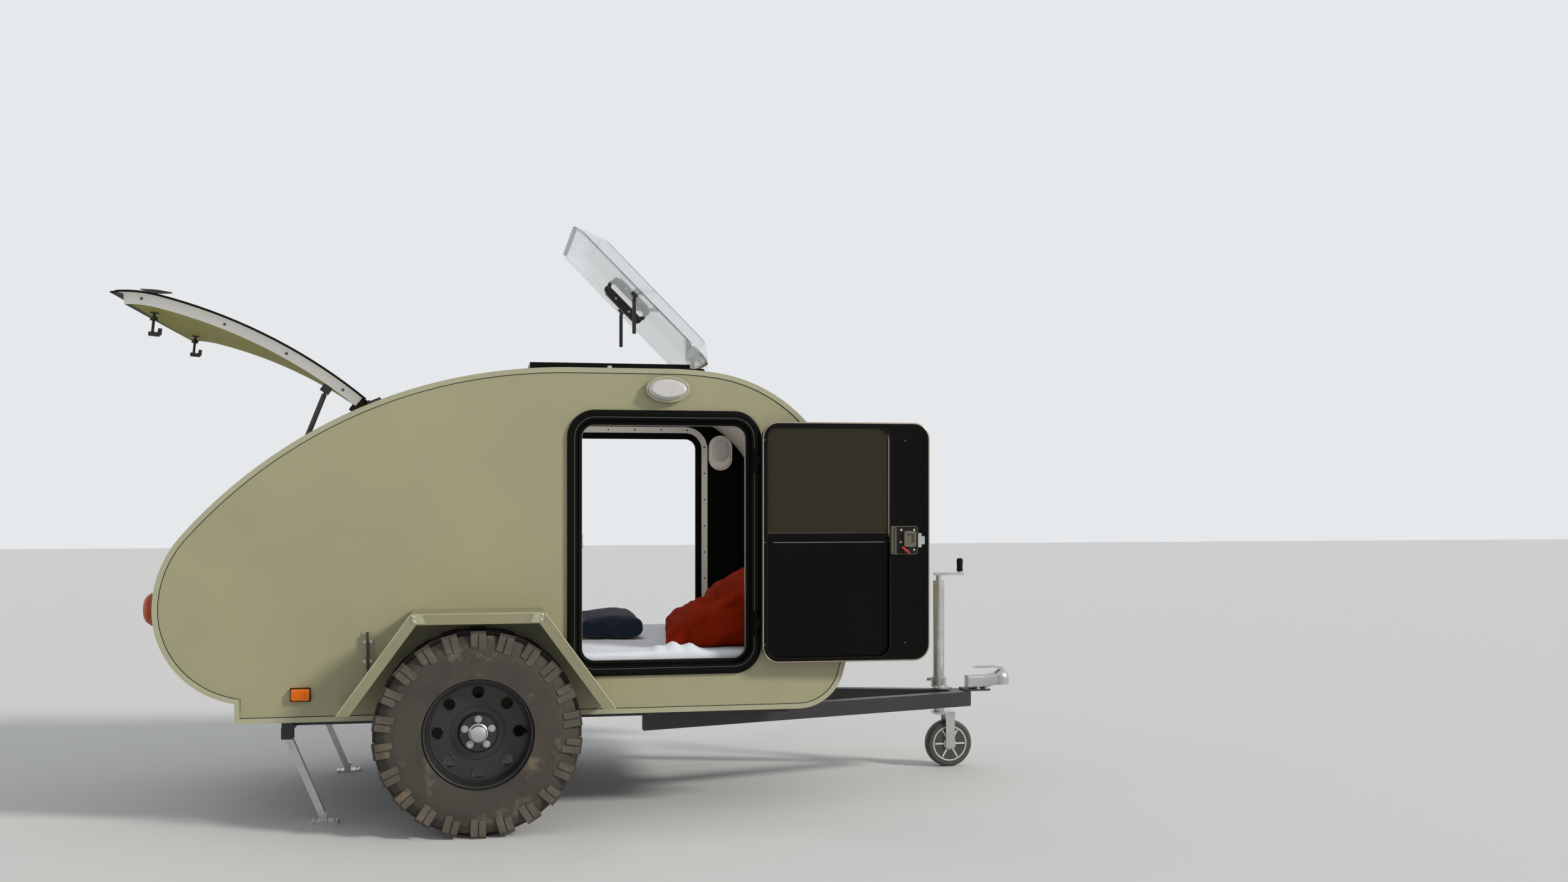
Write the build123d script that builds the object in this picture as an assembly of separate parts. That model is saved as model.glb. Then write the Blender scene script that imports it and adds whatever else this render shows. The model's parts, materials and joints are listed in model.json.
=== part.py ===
"""Off-road teardrop caravan, in millimetres. +X is forward, +Y is left, +Z is up."""
import math
import os

from build123d import *

os.makedirs("parts", exist_ok=True)

# Driving dimensions
tyre_r = 352.0
door_w = 705.0
door_h = 957.0
body_half_w = 670.0
coupling_x = 2190.0

# Body outline, seen from the side
wall_t = 28.0
axle_drop = 28.0
body_bottom = tyre_r + axle_drop
door_sill = 136.0
door_header = 151.0
roof_top = body_bottom + door_sill + door_h + door_header
roof_flat_x = (339.0, 698.0)
# radius of each arc, and the angle from the roof's flat top at which it ends
rear_arcs = [(1904.0, 9.0), (1692.0, 49.5), (394.0, 90.0)]
nose_arcs = [(1214.0, 7.9), (563.0, 62.0), (900.0, 90.0)]
tail_rise = 63.4
tail_step = 61.8
nose_tuck = 105.0
corner_r = 173.2
trim_t = 3.0
trim_w = 18.0
roof_t = 28.0
rear_t = 20.0
floor_t = 50.0
roof_nose_angle = 30.0

# Hatch
hatch_hinge_angle = -23.2
hatch_tip_angle = -71.0
hatch_open = 63.4
hatch_skin_t = 4.0
hatch_core_t = 27.0
hatch_gap = 6.0
hatch_overhang = 32.0
side_gap = 6.0
hinge_r = 6.0
pin_r = 3.0
pin_play = 0.05

# Gas struts
strut_eye_angle = -28.0
strut_eye_depth = 47.0
strut_foot_x = -680.0
strut_foot_drop = 524.0
strut_inset = 58.0
strut_foot_z = roof_top - strut_foot_drop
strut_y = body_half_w - strut_inset
strut_eye_t = 20.0
strut_tube_r = 9.0
strut_rod_r = 4.0
strut_tube_len = 235.0
strut_bore_len = 205.0

# Doors
door_x = 676.5
door_z = body_bottom + door_sill + door_h / 2
door_corner_r = 100.0
door_flange_t = 12.0
door_flange_w = 35.5
door_lip_w = 19.5
door_sleeve_t = 8.0
leaf_gap = 5.0
leaf_t = 26.0
leaf_rim = 16.0
latch_rim = 150.0
door_hinge_drop = 12.0
door_hinge_side = 18.5
door_open = 178.0
ring_t = 3.0

# Wheels, fenders and axle
axle_x = 12.0
tyre_w = 215.0
tread_t = 14.0
lug_count = 22
rim_r = 190.0
track_step = 124.0
track_y = body_half_w + track_step
hub_bore_r = 15.0
spindle_play = 0.05
arm_x = 162.0
fender_room = 62.0
fender_rise = 50.0
fender_top = 2 * tyre_r + fender_room
fender_top_half = 223.0
fender_slope = 54.0
fender_low = body_bottom + fender_rise
fender_out = 245.0
fender_t = 3.0
fender_lip = 36.0

# Chassis
rail_h = 40.0
rail_w = 60.0
rail_inset = 220.0
rail_y = body_half_w - rail_inset
chassis_rear = -662.0
chassis_front = 1170.0
drawbar_h = 60.0
drawbar_w = 50.0
drawbar_back = 620.0
ball_r = 25.2

# Jockey wheel and steadies
jockey_back = 230.0
jockey_x = coupling_x - jockey_back
jockey_offset = 32.0
jockey_tube_r = 24.0
jockey_wheel_r = 100.0
jockey_wheel_w = 50.0
jockey_trail = 42.0
steady_x = -650.0
steady_inset = 150.0
steady_y = body_half_w - steady_inset
steady_angle = 67.55

# Skylight
sky_x = (205.0, 815.0)
sky_half_w = 330.0
sky_band = 38.0
sky_rise = 46.0
sky_top = roof_top + sky_rise
lid_hinge_ahead = 58.0
lid_hinge_drop = 18.0
lid_hinge = (sky_x[1] + lid_hinge_ahead, sky_top - lid_hinge_drop)
lid_gap = 5.0
lid_len = 735.0
lid_half_w = 378.0
lid_crown = 58.0
lid_t = 4.0
lid_open = 45.0

# Inside
bulk_x = -345.0
board_t = 15.0
foot_x = -640.0
worktop_h = 468.0
worktop_z = body_bottom + worktop_h
worktop_t = 18.0
worktop_gap = 8.0
shelf_x = -560.0
shelf_drop = (539.0, 334.0)
shelf_z = (roof_top - shelf_drop[0], roof_top - shelf_drop[1])
shelf_inset = 82.0
shelf_half_w = body_half_w - shelf_inset
shelf_board = 12.0
bed_side_gap = 14.0
bed_end_gap = 7.0
bed_half_w = body_half_w - wall_t - ring_t - bed_side_gap
mattress_t = 165.0
seat_gap = 0.3

floor_top = body_bottom + trim_t + floor_t
bed_top = floor_top + seat_gap + mattress_t


def tangent_chain(table, x_start, direction):
    """Arcs that run on from the roof's flat top, each tangent to the last, and the point where they end."""
    chain = []
    angle = 0.0
    px, pz = x_start, roof_top
    for radius, end in table:
        a = math.radians(angle)
        cx = px - direction * radius * math.sin(a)
        cz = pz - radius * math.cos(a)
        chain.append((cx, cz, radius, direction * angle, direction * end))
        b = math.radians(end)
        px = cx + direction * radius * math.sin(b)
        pz = cz + radius * math.cos(b)
        angle = end
    return chain, (px, pz)


# The last arc under the tail, and the one above the nose's bottom corner, take up the height that is left
tail_top = tangent_chain(rear_arcs, roof_flat_x[0], -1)[1][1]
tail_r = tail_top - body_bottom - tail_rise
rear_chain = tangent_chain(rear_arcs + [(tail_r, 180.0)], roof_flat_x[0], -1)[0]
step_x = rear_chain[-1][0] - tail_step
nose_mid = tangent_chain(nose_arcs, roof_flat_x[1], 1)[1][1]
tuck_cos = math.cos(math.radians(nose_tuck))
nose_low_r = (nose_mid - body_bottom - corner_r * (1 + tuck_cos)) / -tuck_cos
nose_low_arcs = [(nose_low_r, nose_tuck), (corner_r, 180.0)]
nose_chain = tangent_chain(nose_arcs + nose_low_arcs, roof_flat_x[1], 1)[0]
corner_x = nose_chain[-1][0]


def on_outline(angle, inset):
    """Point of the body outline, moved in by inset, where its slope has this angle."""
    chain = rear_chain if angle < 0 else nose_chain
    for cx, cz, radius, start, end in chain:
        if min(start, end) <= angle <= max(start, end):
            a = math.radians(angle)
            return cx + (radius - inset) * math.sin(a), cz + (radius - inset) * math.cos(a)
    raise ValueError(angle)


def span_edges(inset, first, last):
    """Arcs of the outline from one slope angle to another, rear to front."""
    edges = []
    for cx, cz, radius, start, end in reversed(rear_chain):
        lo, hi = max(end, first), min(start, last)
        if lo < hi:
            edges.append(arc_edge(cx, cz, radius - inset, lo, hi))
    if first < 0 < last:
        z = roof_top - inset
        edges.append(Edge.make_line((roof_flat_x[0], 0, z), (roof_flat_x[1], 0, z)))
    for cx, cz, radius, start, end in nose_chain:
        lo, hi = max(start, first), min(end, last)
        if lo < hi:
            edges.append(arc_edge(cx, cz, radius - inset, lo, hi))
    return edges


def arc_edge(cx, cz, radius, lo, hi):
    points = []
    for angle in (lo, (lo + hi) / 2, hi):
        a = math.radians(angle)
        points.append((cx + radius * math.sin(a), 0, cz + radius * math.cos(a)))
    return Edge.make_three_point_arc(*points)


def slab(edges, y0, y1):
    """Solid between two Y planes from the edges of a side outline."""
    face = Face(Wire(edges))
    return Pos(0, y0, 0) * extrude(face, amount=y1 - y0, dir=(0, 1, 0))


def band(outer, inner, first, last, y0, y1):
    """Bent panel that follows the outline between two insets and two slope angles."""
    a = on_outline(first, outer)
    b = on_outline(first, inner)
    c = on_outline(last, outer)
    d = on_outline(last, inner)
    edges = span_edges(outer, first, last) + span_edges(inner, first, last)
    edges.append(Edge.make_line((a[0], 0, a[1]), (b[0], 0, b[1])))
    edges.append(Edge.make_line((c[0], 0, c[1]), (d[0], 0, d[1])))
    return slab(edges, y0, y1)


def whole_outline(inset, y0, y1):
    """The whole side shape, with the step at the rear of the floor."""
    cx, cz, radius = rear_chain[-1][:3]
    x = step_x + inset
    first = -(180.0 - abs(math.degrees(math.asin((x - cx) / (radius - inset)))))
    edges = span_edges(inset, first, 180.0)
    top = on_outline(first, inset)
    z = body_bottom + inset
    edges.append(Edge.make_line((top[0], 0, top[1]), (x, 0, z)))
    edges.append(Edge.make_line((x, 0, z), (corner_x, 0, z)))
    return slab(edges, y0, y1)


def block(x0, x1, y0, y1, z0, z1):
    return Pos((x0 + x1) / 2, (y0 + y1) / 2, (z0 + z1) / 2) * Box(x1 - x0, y1 - y0, z1 - z0)


def rod_y(x, z, radius, y0, y1):
    return Pos(x, (y0 + y1) / 2, z) * Rot(90, 0, 0) * Cylinder(radius, y1 - y0)


def rod_z(x, y, radius, z0, z1):
    return Pos(x, y, (z0 + z1) / 2) * Cylinder(radius, z1 - z0)


def panel_y(x, z, w, h, corner, y0, y1):
    """Rounded rectangle in a side plane, from y0 to y1."""
    sketch = RectangleRounded(w, h, corner)
    return Pos(x, y1, z) * Rot(90, 0, 0) * extrude(sketch, amount=y1 - y0)


def frame_y(x, z, w, h, corner, edge, y0, y1):
    """Ring of width edge in a side plane."""
    outer = panel_y(x, z, w, h, corner, y0, y1)
    inner = panel_y(x, z, w - 2 * edge, h - 2 * edge, corner - edge, y0 - 1, y1 + 1)
    return outer - inner


def flip(solid):
    return mirror(solid, about=Plane.XZ)


def turned(solid, x, z, angle):
    """Turned about a Y axis through x, z; a positive angle lifts what is behind it."""
    return Pos(x, 0, z) * Rot(0, angle, 0) * Pos(-x, 0, -z) * solid


def turned_point(px, pz, x, z, angle):
    a = math.radians(angle)
    dx, dz = px - x, pz - z
    return x + dx * math.cos(a) + dz * math.sin(a), z + dz * math.cos(a) - dx * math.sin(a)


nodes = {}


def pair(name, right_side):
    nodes[name + "_right"] = right_side
    nodes[name + "_left"] = flip(right_side)


def both(name, right_side):
    nodes[name] = Compound(children=[right_side, flip(right_side)])


# Side panels, right side: the wall's outer face is at y = -body_half_w
wall_out = -body_half_w
wall_in = -body_half_w + wall_t
rough_w = door_w - 2 * door_flange_w + 2 * door_sleeve_t
rough_h = door_h - 2 * door_flange_w + 2 * door_sleeve_t
rough_r = door_corner_r - door_flange_w + door_sleeve_t
side_panel = whole_outline(trim_t, wall_out, wall_in)
side_panel -= panel_y(door_x, door_z, rough_w, rough_h, rough_r, wall_out - 1, wall_in + 1)
pair("side_panel", side_panel)

# Roof with the skylight's hole, nose, rear panel and floor
inner_half = body_half_w - wall_t
roof_rear_angle = hatch_hinge_angle + 0.5
roof = band(trim_t, trim_t + roof_t, roof_rear_angle, roof_nose_angle, -inner_half, inner_half)
roof -= block(sky_x[0] + sky_band, sky_x[1] - sky_band, -sky_half_w + sky_band, sky_half_w - sky_band,
              roof_top - 150, roof_top + 50)
nodes["roof_panel"] = roof
nose = band(trim_t, trim_t + roof_t, roof_nose_angle, 180.0, -inner_half, inner_half)
floor_front = corner_x + corner_r * 0.45
nose -= block(corner_x - 50, floor_front, -inner_half, inner_half, 0, floor_top)
rear = band(trim_t, trim_t + rear_t, -176.0, hatch_tip_angle + 1.6, -inner_half, inner_half)
floor_plate = block(step_x + trim_t, floor_front, -inner_half, inner_half, body_bottom + trim_t, floor_top)
nose_inside = whole_outline(trim_t, -inner_half, inner_half)
floor_plate = floor_plate & nose_inside
nodes["nose_panel"] = nose
nodes["rear_panel"] = rear
step_disc = rod_y(rear_chain[-1][0], rear_chain[-1][1], tail_r - trim_t, -inner_half - 1, inner_half + 1)
upstand = block(step_x + trim_t, step_x + trim_t + wall_t, -inner_half, inner_half, floor_top, floor_top + 60)
nodes["floor_panel"] = floor_plate + (upstand - step_disc)

# Edge trims: an angle section along the whole outline
trim_side = whole_outline(0, wall_out - trim_t, wall_out)
trim_side -= whole_outline(trim_w, wall_out - 10, wall_out + 10)
trim_top = whole_outline(0, wall_out, wall_in) - whole_outline(trim_t, wall_out - 10, wall_in + 10)
pair("edge_trim", trim_side + trim_top)

# Door frames: flange, sleeve through the wall, and lip that the leaf closes against
leaf_w = door_w - 2 * door_flange_w - 2 * leaf_gap
leaf_h = door_h - 2 * door_flange_w - 2 * leaf_gap
rebate_r = door_corner_r - door_flange_w
lip_y = wall_out - door_flange_t + leaf_t + leaf_gap + 1
flange_face = wall_out - door_flange_t
flange = frame_y(door_x, door_z, door_w, door_h, door_corner_r, door_flange_w, flange_face, wall_out)
sleeve = frame_y(door_x, door_z, rough_w, rough_h, rough_r, door_sleeve_t, wall_out, wall_in)
lip = frame_y(door_x, door_z, rough_w, rough_h, rough_r, door_sleeve_t + door_lip_w, lip_y, wall_in)
flange = chamfer(flange.edges().filter_by(lambda e: e.bounding_box().max.Y < flange_face + 0.1), 3.0)
door_frame = flange + sleeve + lip

# Door hinges: two on each side, at the front edge of the frame
door_hinge_x = door_x + leaf_w / 2 + door_hinge_side
door_hinge_y = wall_out - door_flange_t - door_hinge_drop
knuckle_r = 7.0
knuckle_h = 30.0
hinge_heights = (door_z - door_h * 0.31, door_z + door_h * 0.31)
leaf_out = flange_face + 1.0
for z in hinge_heights:
    for side in (-1, 1):
        mid = z + side * (knuckle_h + 0.5)
        door_frame += rod_z(door_hinge_x, door_hinge_y, knuckle_r, mid - knuckle_h / 2, mid + knuckle_h / 2)
        door_frame += block(door_hinge_x - 4, door_hinge_x + 4, door_hinge_y, flange_face,
                            mid - knuckle_h / 2, mid + knuckle_h / 2)
    door_frame += rod_z(door_hinge_x, door_hinge_y, pin_r, z - knuckle_h * 1.4, z + knuckle_h * 1.4)
pair("door_frame", door_frame)
both("door_rings", frame_y(door_x, door_z, door_w, door_h, door_corner_r,
                           door_flange_w + door_lip_w, wall_in, wall_in + ring_t))

# Door leaves, made closed and then swung open about the hinge line
leaf_r = rebate_r - leaf_gap
leaf_in = leaf_out + leaf_t
window_w = leaf_w - leaf_rim - latch_rim
window_h = leaf_h - 2 * leaf_rim
window_x = door_x + leaf_w / 2 - leaf_rim - window_w / 2
window_r = leaf_r - leaf_rim
leaf = panel_y(door_x, door_z, leaf_w, leaf_h, leaf_r, leaf_out, leaf_in)
leaf -= panel_y(window_x, door_z, window_w, window_h, window_r, leaf_out - 1, leaf_in + 1)
leaf = chamfer(leaf.edges().filter_by(lambda e: e.bounding_box().min.Y > leaf_in - 0.1), 2.5)
strap_t = 4.0
strap_gap = 3.0
strap_len = 52.0
leaf_edge = door_x + leaf_w / 2
for z in hinge_heights:
    z0 = z - knuckle_h / 2 + 0.5
    z1 = z + knuckle_h / 2 - 0.5
    strap_face = flange_face - strap_gap
    leaf += block(leaf_edge - strap_len, door_hinge_x, strap_face - strap_t, strap_face, z0, z1)
    leaf += block(leaf_edge - strap_len, leaf_edge - 2, strap_face, leaf_out, z0, z1)
    leaf += rod_z(door_hinge_x, door_hinge_y, knuckle_r, z0, z1)
    leaf -= rod_z(door_hinge_x, door_hinge_y, pin_r + pin_play, z - knuckle_h, z + knuckle_h)
glass_t = 5.0
glass = panel_y(window_x, door_z, window_w, window_h, window_r, leaf_out + 4, leaf_out + 4 + glass_t)

# Insect screen in the upper half of the window, with its bar, and the two rails under it
rail_z = door_z + window_h * 0.03
rail_h2 = 9.0
screen_t = 9.0
bar_w = 6.0
window_x0 = window_x - window_w / 2
window_x1 = window_x + window_w / 2
screen_y0 = leaf_in - screen_t
screen = block(window_x0, window_x1, screen_y0, leaf_in - 1, rail_z - rail_h2, rail_z + rail_h2)
screen += block(window_x0, window_x1, screen_y0, leaf_in - 2, rail_z - 3 * rail_h2, rail_z - 2 * rail_h2)
bar_z = (rail_z - 3 * rail_h2, door_z + window_h / 2 - window_r)
screen += block(window_x0, window_x0 + bar_w, screen_y0, leaf_in - 1, bar_z[0], bar_z[1])
mesh_sheet = panel_y(window_x, door_z, window_w, window_h, window_r, leaf_in - 6, leaf_in - 5)
screen += mesh_sheet & block(window_x0, window_x1, leaf_in - 20, leaf_in + 5, rail_z, door_z + window_h)

# Latch on the band beside the window: plate with a pull, paddle, lever and bolt
leaf_free = door_x - leaf_w / 2
latch_z = door_z + 6.0
plate_x = (leaf_free + 46.0, leaf_free + 149.0)
plate_h = 105.0
plate_t = 4.0
latch = panel_y(sum(plate_x) / 2, latch_z, plate_x[1] - plate_x[0], plate_h, 9, leaf_in, leaf_in + plate_t)
latch += block(plate_x[1] - 20, plate_x[1] - 3, leaf_in + plate_t, leaf_in + 13, latch_z - 50, latch_z + 50)
latch -= block(plate_x[1] - 16, plate_x[1] - 7, leaf_in + 7, leaf_in + 14, latch_z - 51, latch_z + 51)
paddle_x = leaf_free + 77.0
latch += panel_y(paddle_x, latch_z + 5, 44, 58, 6, leaf_in + plate_t, leaf_in + 17)
latch -= panel_y(paddle_x, latch_z + 7, 28, 34, 4, leaf_in + 11, leaf_in + 18)
lever = Pos(paddle_x + 8, leaf_in + plate_t + 8, latch_z - 35) * Rot(0, 28, 0) * Box(36, 9, 12)
latch += lever + rod_y(paddle_x - 4, latch_z - 28, 8, leaf_in + plate_t, leaf_in + 12)
bolt_x = (leaf_free + 22.0, leaf_free + 47.0)
bolt = block(bolt_x[0], bolt_x[1], leaf_in, leaf_in + 13, latch_z - 26, latch_z + 26)
bolt -= block(bolt_x[0] - 1, bolt_x[0] + 12, leaf_in - 1, leaf_in + 14, latch_z - 27, latch_z - 15)
bolt -= block(bolt_x[0] - 1, bolt_x[0] + 12, leaf_in - 1, leaf_in + 14, latch_z + 15, latch_z + 27)
latch += bolt
latch_handle = panel_y(paddle_x, latch_z, 60, 74, 14, leaf_out - 12, leaf_out)
latch_handle -= panel_y(paddle_x, latch_z, 40, 52, 8, leaf_out - 13, leaf_out - 5)


def swing(solid):
    """From the closed door to the open one."""
    hinge = Pos(door_hinge_x, door_hinge_y, 0)
    return hinge * Rot(0, 0, door_open) * Pos(-door_hinge_x, -door_hinge_y, 0) * solid


pair("door_leaf", swing(leaf))
pair("door_glass", swing(glass))
pair("door_screen", swing(screen))
latch_pair = Compound(children=[swing(latch), swing(latch_handle)])
nodes["door_latch_right"] = latch_pair
nodes["door_latch_left"] = Compound(children=[flip(swing(latch)), flip(swing(latch_handle))])

# Hatch, made closed and then lifted about the hinge on the roof
hatch_in = -hatch_gap
hatch_out = hatch_in - hatch_skin_t
hatch_pivot = on_outline(hatch_hinge_angle, hatch_out)
skin_half = body_half_w + trim_t
core_half = inner_half - side_gap
hatch_first = hatch_tip_angle
hatch_last = hatch_hinge_angle - 0.35
skin = band(hatch_out, hatch_in, hatch_first, hatch_last, -skin_half, skin_half)
core_first = hatch_first + math.degrees(hatch_overhang / rear_arcs[2][0])
core_last = hatch_last - 0.5
core_in = hatch_in + hatch_gap + trim_t + hatch_core_t
core = band(hatch_in, core_in, core_first, core_last, -core_half, core_half)
hatch = skin + core
knuckle_len = 2 * core_half / 7.0
hinge_strip = []
pivot_x, pivot_z = hatch_pivot
for i in range(7):
    y0 = -core_half + i * knuckle_len + 0.5
    y1 = y0 + knuckle_len - 1.0
    tube = rod_y(pivot_x, pivot_z, hinge_r, y0, y1)
    bore = rod_y(pivot_x, pivot_z, pin_r + pin_play, y0 - 1, y1 + 1)
    if i % 2:
        tongue = block(pivot_x - 26, pivot_x, y0, y1, pivot_z - 1.5, pivot_z + 1.5)
        tongue = turned(tongue, pivot_x, pivot_z, hatch_hinge_angle)
        hatch = hatch + ((tube + tongue) - bore)
    else:
        plate = block(pivot_x, pivot_x + 42, y0, y1, pivot_z - 2, pivot_z + 1)
        plate = turned(plate, pivot_x, pivot_z, hatch_hinge_angle)
        hinge_strip.append(tube + plate)
hinge_pin = rod_y(pivot_x, pivot_z, pin_r, -core_half + 1, core_half - 1)
hinge_rail = block(pivot_x + 9, pivot_x + 42, -core_half, core_half, pivot_z - 8, pivot_z + 1)
hinge_rail = turned(hinge_rail, pivot_x, pivot_z, hatch_hinge_angle)
roof_skin = whole_outline(trim_t, -inner_half - 1, inner_half + 1)
hinge_rail = hinge_rail - roof_skin
strip = hinge_rail + hinge_pin
for knuckle in hinge_strip:
    strip += knuckle
nodes["hatch_hinge"] = strip - roof_skin
nodes["hatch_panel"] = turned(hatch, pivot_x, pivot_z, hatch_open)

# Hatch handles: a spindle through the panel, a T-bar outside and a cam inside
handle_inset = 263.0
handle_y = body_half_w - handle_inset
handle_angle = hatch_tip_angle + 13.0
handle_reach = 84.0
handle_half = 53.0
spindle_r = 5.0
handle_x, handle_z = on_outline(handle_angle, 0)
core_face = trim_t + hatch_core_t


def handle(y):
    """Spindle through the panel, winged grip outside, nut and hooked cam inside."""
    top = 48.0
    foot = -core_face - handle_reach
    spindle = Pos(0, 0, (foot + top) / 2) * Cylinder(spindle_r, top - foot)
    wing = Polyline((-handle_half, 0, top - 3), (-12, 0, top - 9), (12, 0, top - 9), (handle_half, 0, top - 3),
                    (handle_half, 0, top), (12, 0, top + 3), (-12, 0, top + 3), (-handle_half, 0, top), close=True)
    grip = Pos(0, -8, 0) * extrude(Face(Wire(wing.edges())), amount=16, dir=(0, 1, 0))
    washer = Pos(0, 0, 13) * Cylinder(15, 6)
    nut = Pos(0, 0, -core_face - 22) * Cylinder(13, 14)
    plate = Pos(0, 0, -core_face - 2.4) * Cylinder(15, 4)
    hook = Polyline((-12, 0, foot), (22, 0, foot), (30, 0, foot + 8), (30, 0, foot + 30), (20, 0, foot + 30),
                    (18, 0, foot + 15), (-12, 0, foot + 15), (-12, 0, foot))
    cam = Pos(0, -8, 0) * extrude(Face(Wire(hook.edges())), amount=16, dir=(0, 1, 0))
    whole = spindle + grip + washer + nut + plate + cam
    return Pos(handle_x, y, handle_z) * Rot(0, handle_angle, 0) * whole


handle_hole = Pos(handle_x, 0, handle_z) * Rot(0, handle_angle, 0) * Cylinder(spindle_r + 0.2, 160)
for y in (-handle_y, handle_y):
    nodes["hatch_panel"] -= turned(Pos(0, y, 0) * handle_hole, pivot_x, pivot_z, hatch_open)
closed_handles = [handle(-handle_y), handle(handle_y)]
nodes["hatch_latches"] = Compound(children=[turned(h, pivot_x, pivot_z, hatch_open) for h in closed_handles])

# Gas struts: the tube hangs from the hatch, the rod stands on the side wall
eye_closed = on_outline(strut_eye_angle, strut_eye_depth)
eye_open = turned_point(eye_closed[0], eye_closed[1], pivot_x, pivot_z, hatch_open)
open_len = math.hypot(eye_open[0] - strut_foot_x, eye_open[1] - strut_foot_z)
closed_len = math.hypot(eye_closed[0] - strut_foot_x, eye_closed[1] - strut_foot_z)
strut_stroke = open_len - closed_len
open_dir = math.degrees(math.atan2(strut_foot_x - eye_open[0], strut_foot_z - eye_open[1]))
closed_dir = math.degrees(math.atan2(strut_foot_x - eye_closed[0], strut_foot_z - eye_closed[1]))
strut_turn = (closed_dir - open_dir) + hatch_open
strut_axis = ((strut_foot_x - eye_open[0]) / open_len, 0.0, (strut_foot_z - eye_open[1]) / open_len)


def strut_place(solid):
    """From a local frame, +Z down the strut from the upper eye, to the open strut on the right side."""
    return Pos(eye_open[0], -strut_y, eye_open[1]) * Rot(0, open_dir, 0) * solid


eye_r = 8.5
eye_pin_r = 4.0
tube_start = 16.0
tube_end = tube_start + strut_tube_len
ball_eye = Rot(90, 0, 0) * Cylinder(eye_r, strut_eye_t)
ball_eye = ball_eye - Rot(90, 0, 0) * Cylinder(eye_pin_r + pin_play, strut_eye_t + 2)
neck = Pos(0, 0, tube_start / 2 + 3) * Cylinder(5, tube_start - 6)
neck = neck - Rot(90, 0, 0) * Cylinder(eye_r - 1, strut_eye_t + 2)
tube = Pos(0, 0, (tube_start + tube_end) / 2) * Cylinder(strut_tube_r, strut_tube_len)
tube -= Pos(0, 0, tube_end - strut_bore_len / 2 + 0.5) * Cylinder(strut_rod_r + pin_play, strut_bore_len + 1)
pair("strut_tube", strut_place(ball_eye + neck + tube))
rod_start = tube_end - (strut_bore_len - strut_stroke) + 12
rod_foot = open_len - 6
rod = Pos(0, 0, (rod_start + rod_foot) / 2) * Cylinder(strut_rod_r, rod_foot - rod_start)
rod_eye = Pos(0, 0, open_len) * Rot(90, 0, 0) * Cylinder(eye_r, strut_eye_t)
pair("strut_rod", strut_place(rod + rod_eye))

# Strut brackets: on the hatch a plate with a pin, on the side wall a plate with a stud
bracket_y = -strut_y - strut_eye_t / 2
bracket_t = 5.0
hatch_bracket = Pos(eye_closed[0], 0, eye_closed[1]) * Rot(0, strut_eye_angle, 0) * (
    Pos(0, bracket_y - 0.3 - bracket_t / 2, 9) * Box(34, bracket_t, 42))
core_zone = band(hatch_in, trim_t + hatch_core_t, -40.0, hatch_last - 0.6, -core_half, core_half)
hatch_bracket = hatch_bracket - core_zone
hatch_bracket += rod_y(eye_closed[0], eye_closed[1], eye_pin_r, bracket_y - 4, -strut_y + strut_eye_t / 2 + 2)
both("hatch_brackets", turned(hatch_bracket, pivot_x, pivot_z, hatch_open))
stud = rod_y(strut_foot_x, strut_foot_z, 5, wall_in + 4, bracket_y - 0.5)
stud_plate = panel_y(strut_foot_x, strut_foot_z, 40, 60, 5, wall_in, wall_in + 4)
both("strut_mounts", stud_plate + stud)

# Galley: bulkhead, foot-box board, worktop and open shelf
roof_inside = whole_outline(trim_t + roof_t, -inner_half, inner_half)
upper_board = block(bulk_x, bulk_x + board_t, -inner_half, inner_half, worktop_z, roof_top) & roof_inside
lower_board = block(foot_x, foot_x + board_t, -inner_half, inner_half, floor_top, worktop_z)
nodes["bulkhead"] = Compound(children=[upper_board, lower_board])
worktop = block(step_x * 1.4, bulk_x, -inner_half, inner_half, worktop_z, worktop_z + worktop_t)
nodes["worktop"] = worktop & whole_outline(trim_t + rear_t + worktop_gap, -inner_half, inner_half)
shelf = block(shelf_x, bulk_x, -shelf_half_w, shelf_half_w, shelf_z[0], shelf_z[1])
bay_w = (2 * shelf_half_w - 4 * shelf_board) / 3
for i in range(3):
    bay_y = -shelf_half_w + shelf_board + i * (bay_w + shelf_board)
    shelf -= block(shelf_x - 5, bulk_x - 5, bay_y, bay_y + bay_w,
                   shelf_z[0] + shelf_board, shelf_z[1] - shelf_board)
nodes["galley_shelf"] = shelf

# Bed
nose_in = corner_r - trim_t - roof_t
bed_back = foot_x + board_t + bed_end_gap
bed_front = corner_x + math.sqrt(nose_in ** 2 - (body_bottom + corner_r - floor_top) ** 2) - bed_end_gap
mattress = block(bed_back, bed_front, -bed_half_w, bed_half_w, floor_top + seat_gap, bed_top)
nodes["mattress"] = mattress
quilt_low = bed_top + seat_gap
quilt_start = 14.0
quilt_x = door_x + quilt_start
quilt_rise = 300.0
quilt_inset = 150.0
# x from the quilt's rear edge and height above the sheet
quilt_points = [(0, 0), (60, 80), (150, 135), (245, 205), (400, 296), (480, quilt_rise), (560, 270), (575, 0),
                (0, 0)]
quilt_face = Polyline(*[(quilt_x + x, 0, quilt_low + z) for x, z in quilt_points])
quilt_half = body_half_w - quilt_inset
quilt_edges = Face(Wire(quilt_face.edges()))
nodes["quilt"] = Pos(0, -quilt_half, 0) * extrude(quilt_edges, amount=2 * quilt_half, dir=(0, 1, 0))
blanket = block(door_x - 276, door_x - 16, -120, 330, quilt_low, quilt_low + 88)
nodes["blanket"] = fillet(blanket.edges().filter_by(Axis.Y), 40)

# Cabin lamps on the side walls, ahead of the doors
lamp_place = (door_x + door_w / 2 + 57.0, door_z + door_h / 2 - 116.0)
cabin_lamp = panel_y(lamp_place[0], lamp_place[1], 100, 150, 49, wall_in, wall_in + 26)
cabin_lamp = chamfer(cabin_lamp.edges().filter_by(lambda e: e.bounding_box().min.Y > wall_in + 25), 8)
both("cabin_lamps", cabin_lamp)

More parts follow.
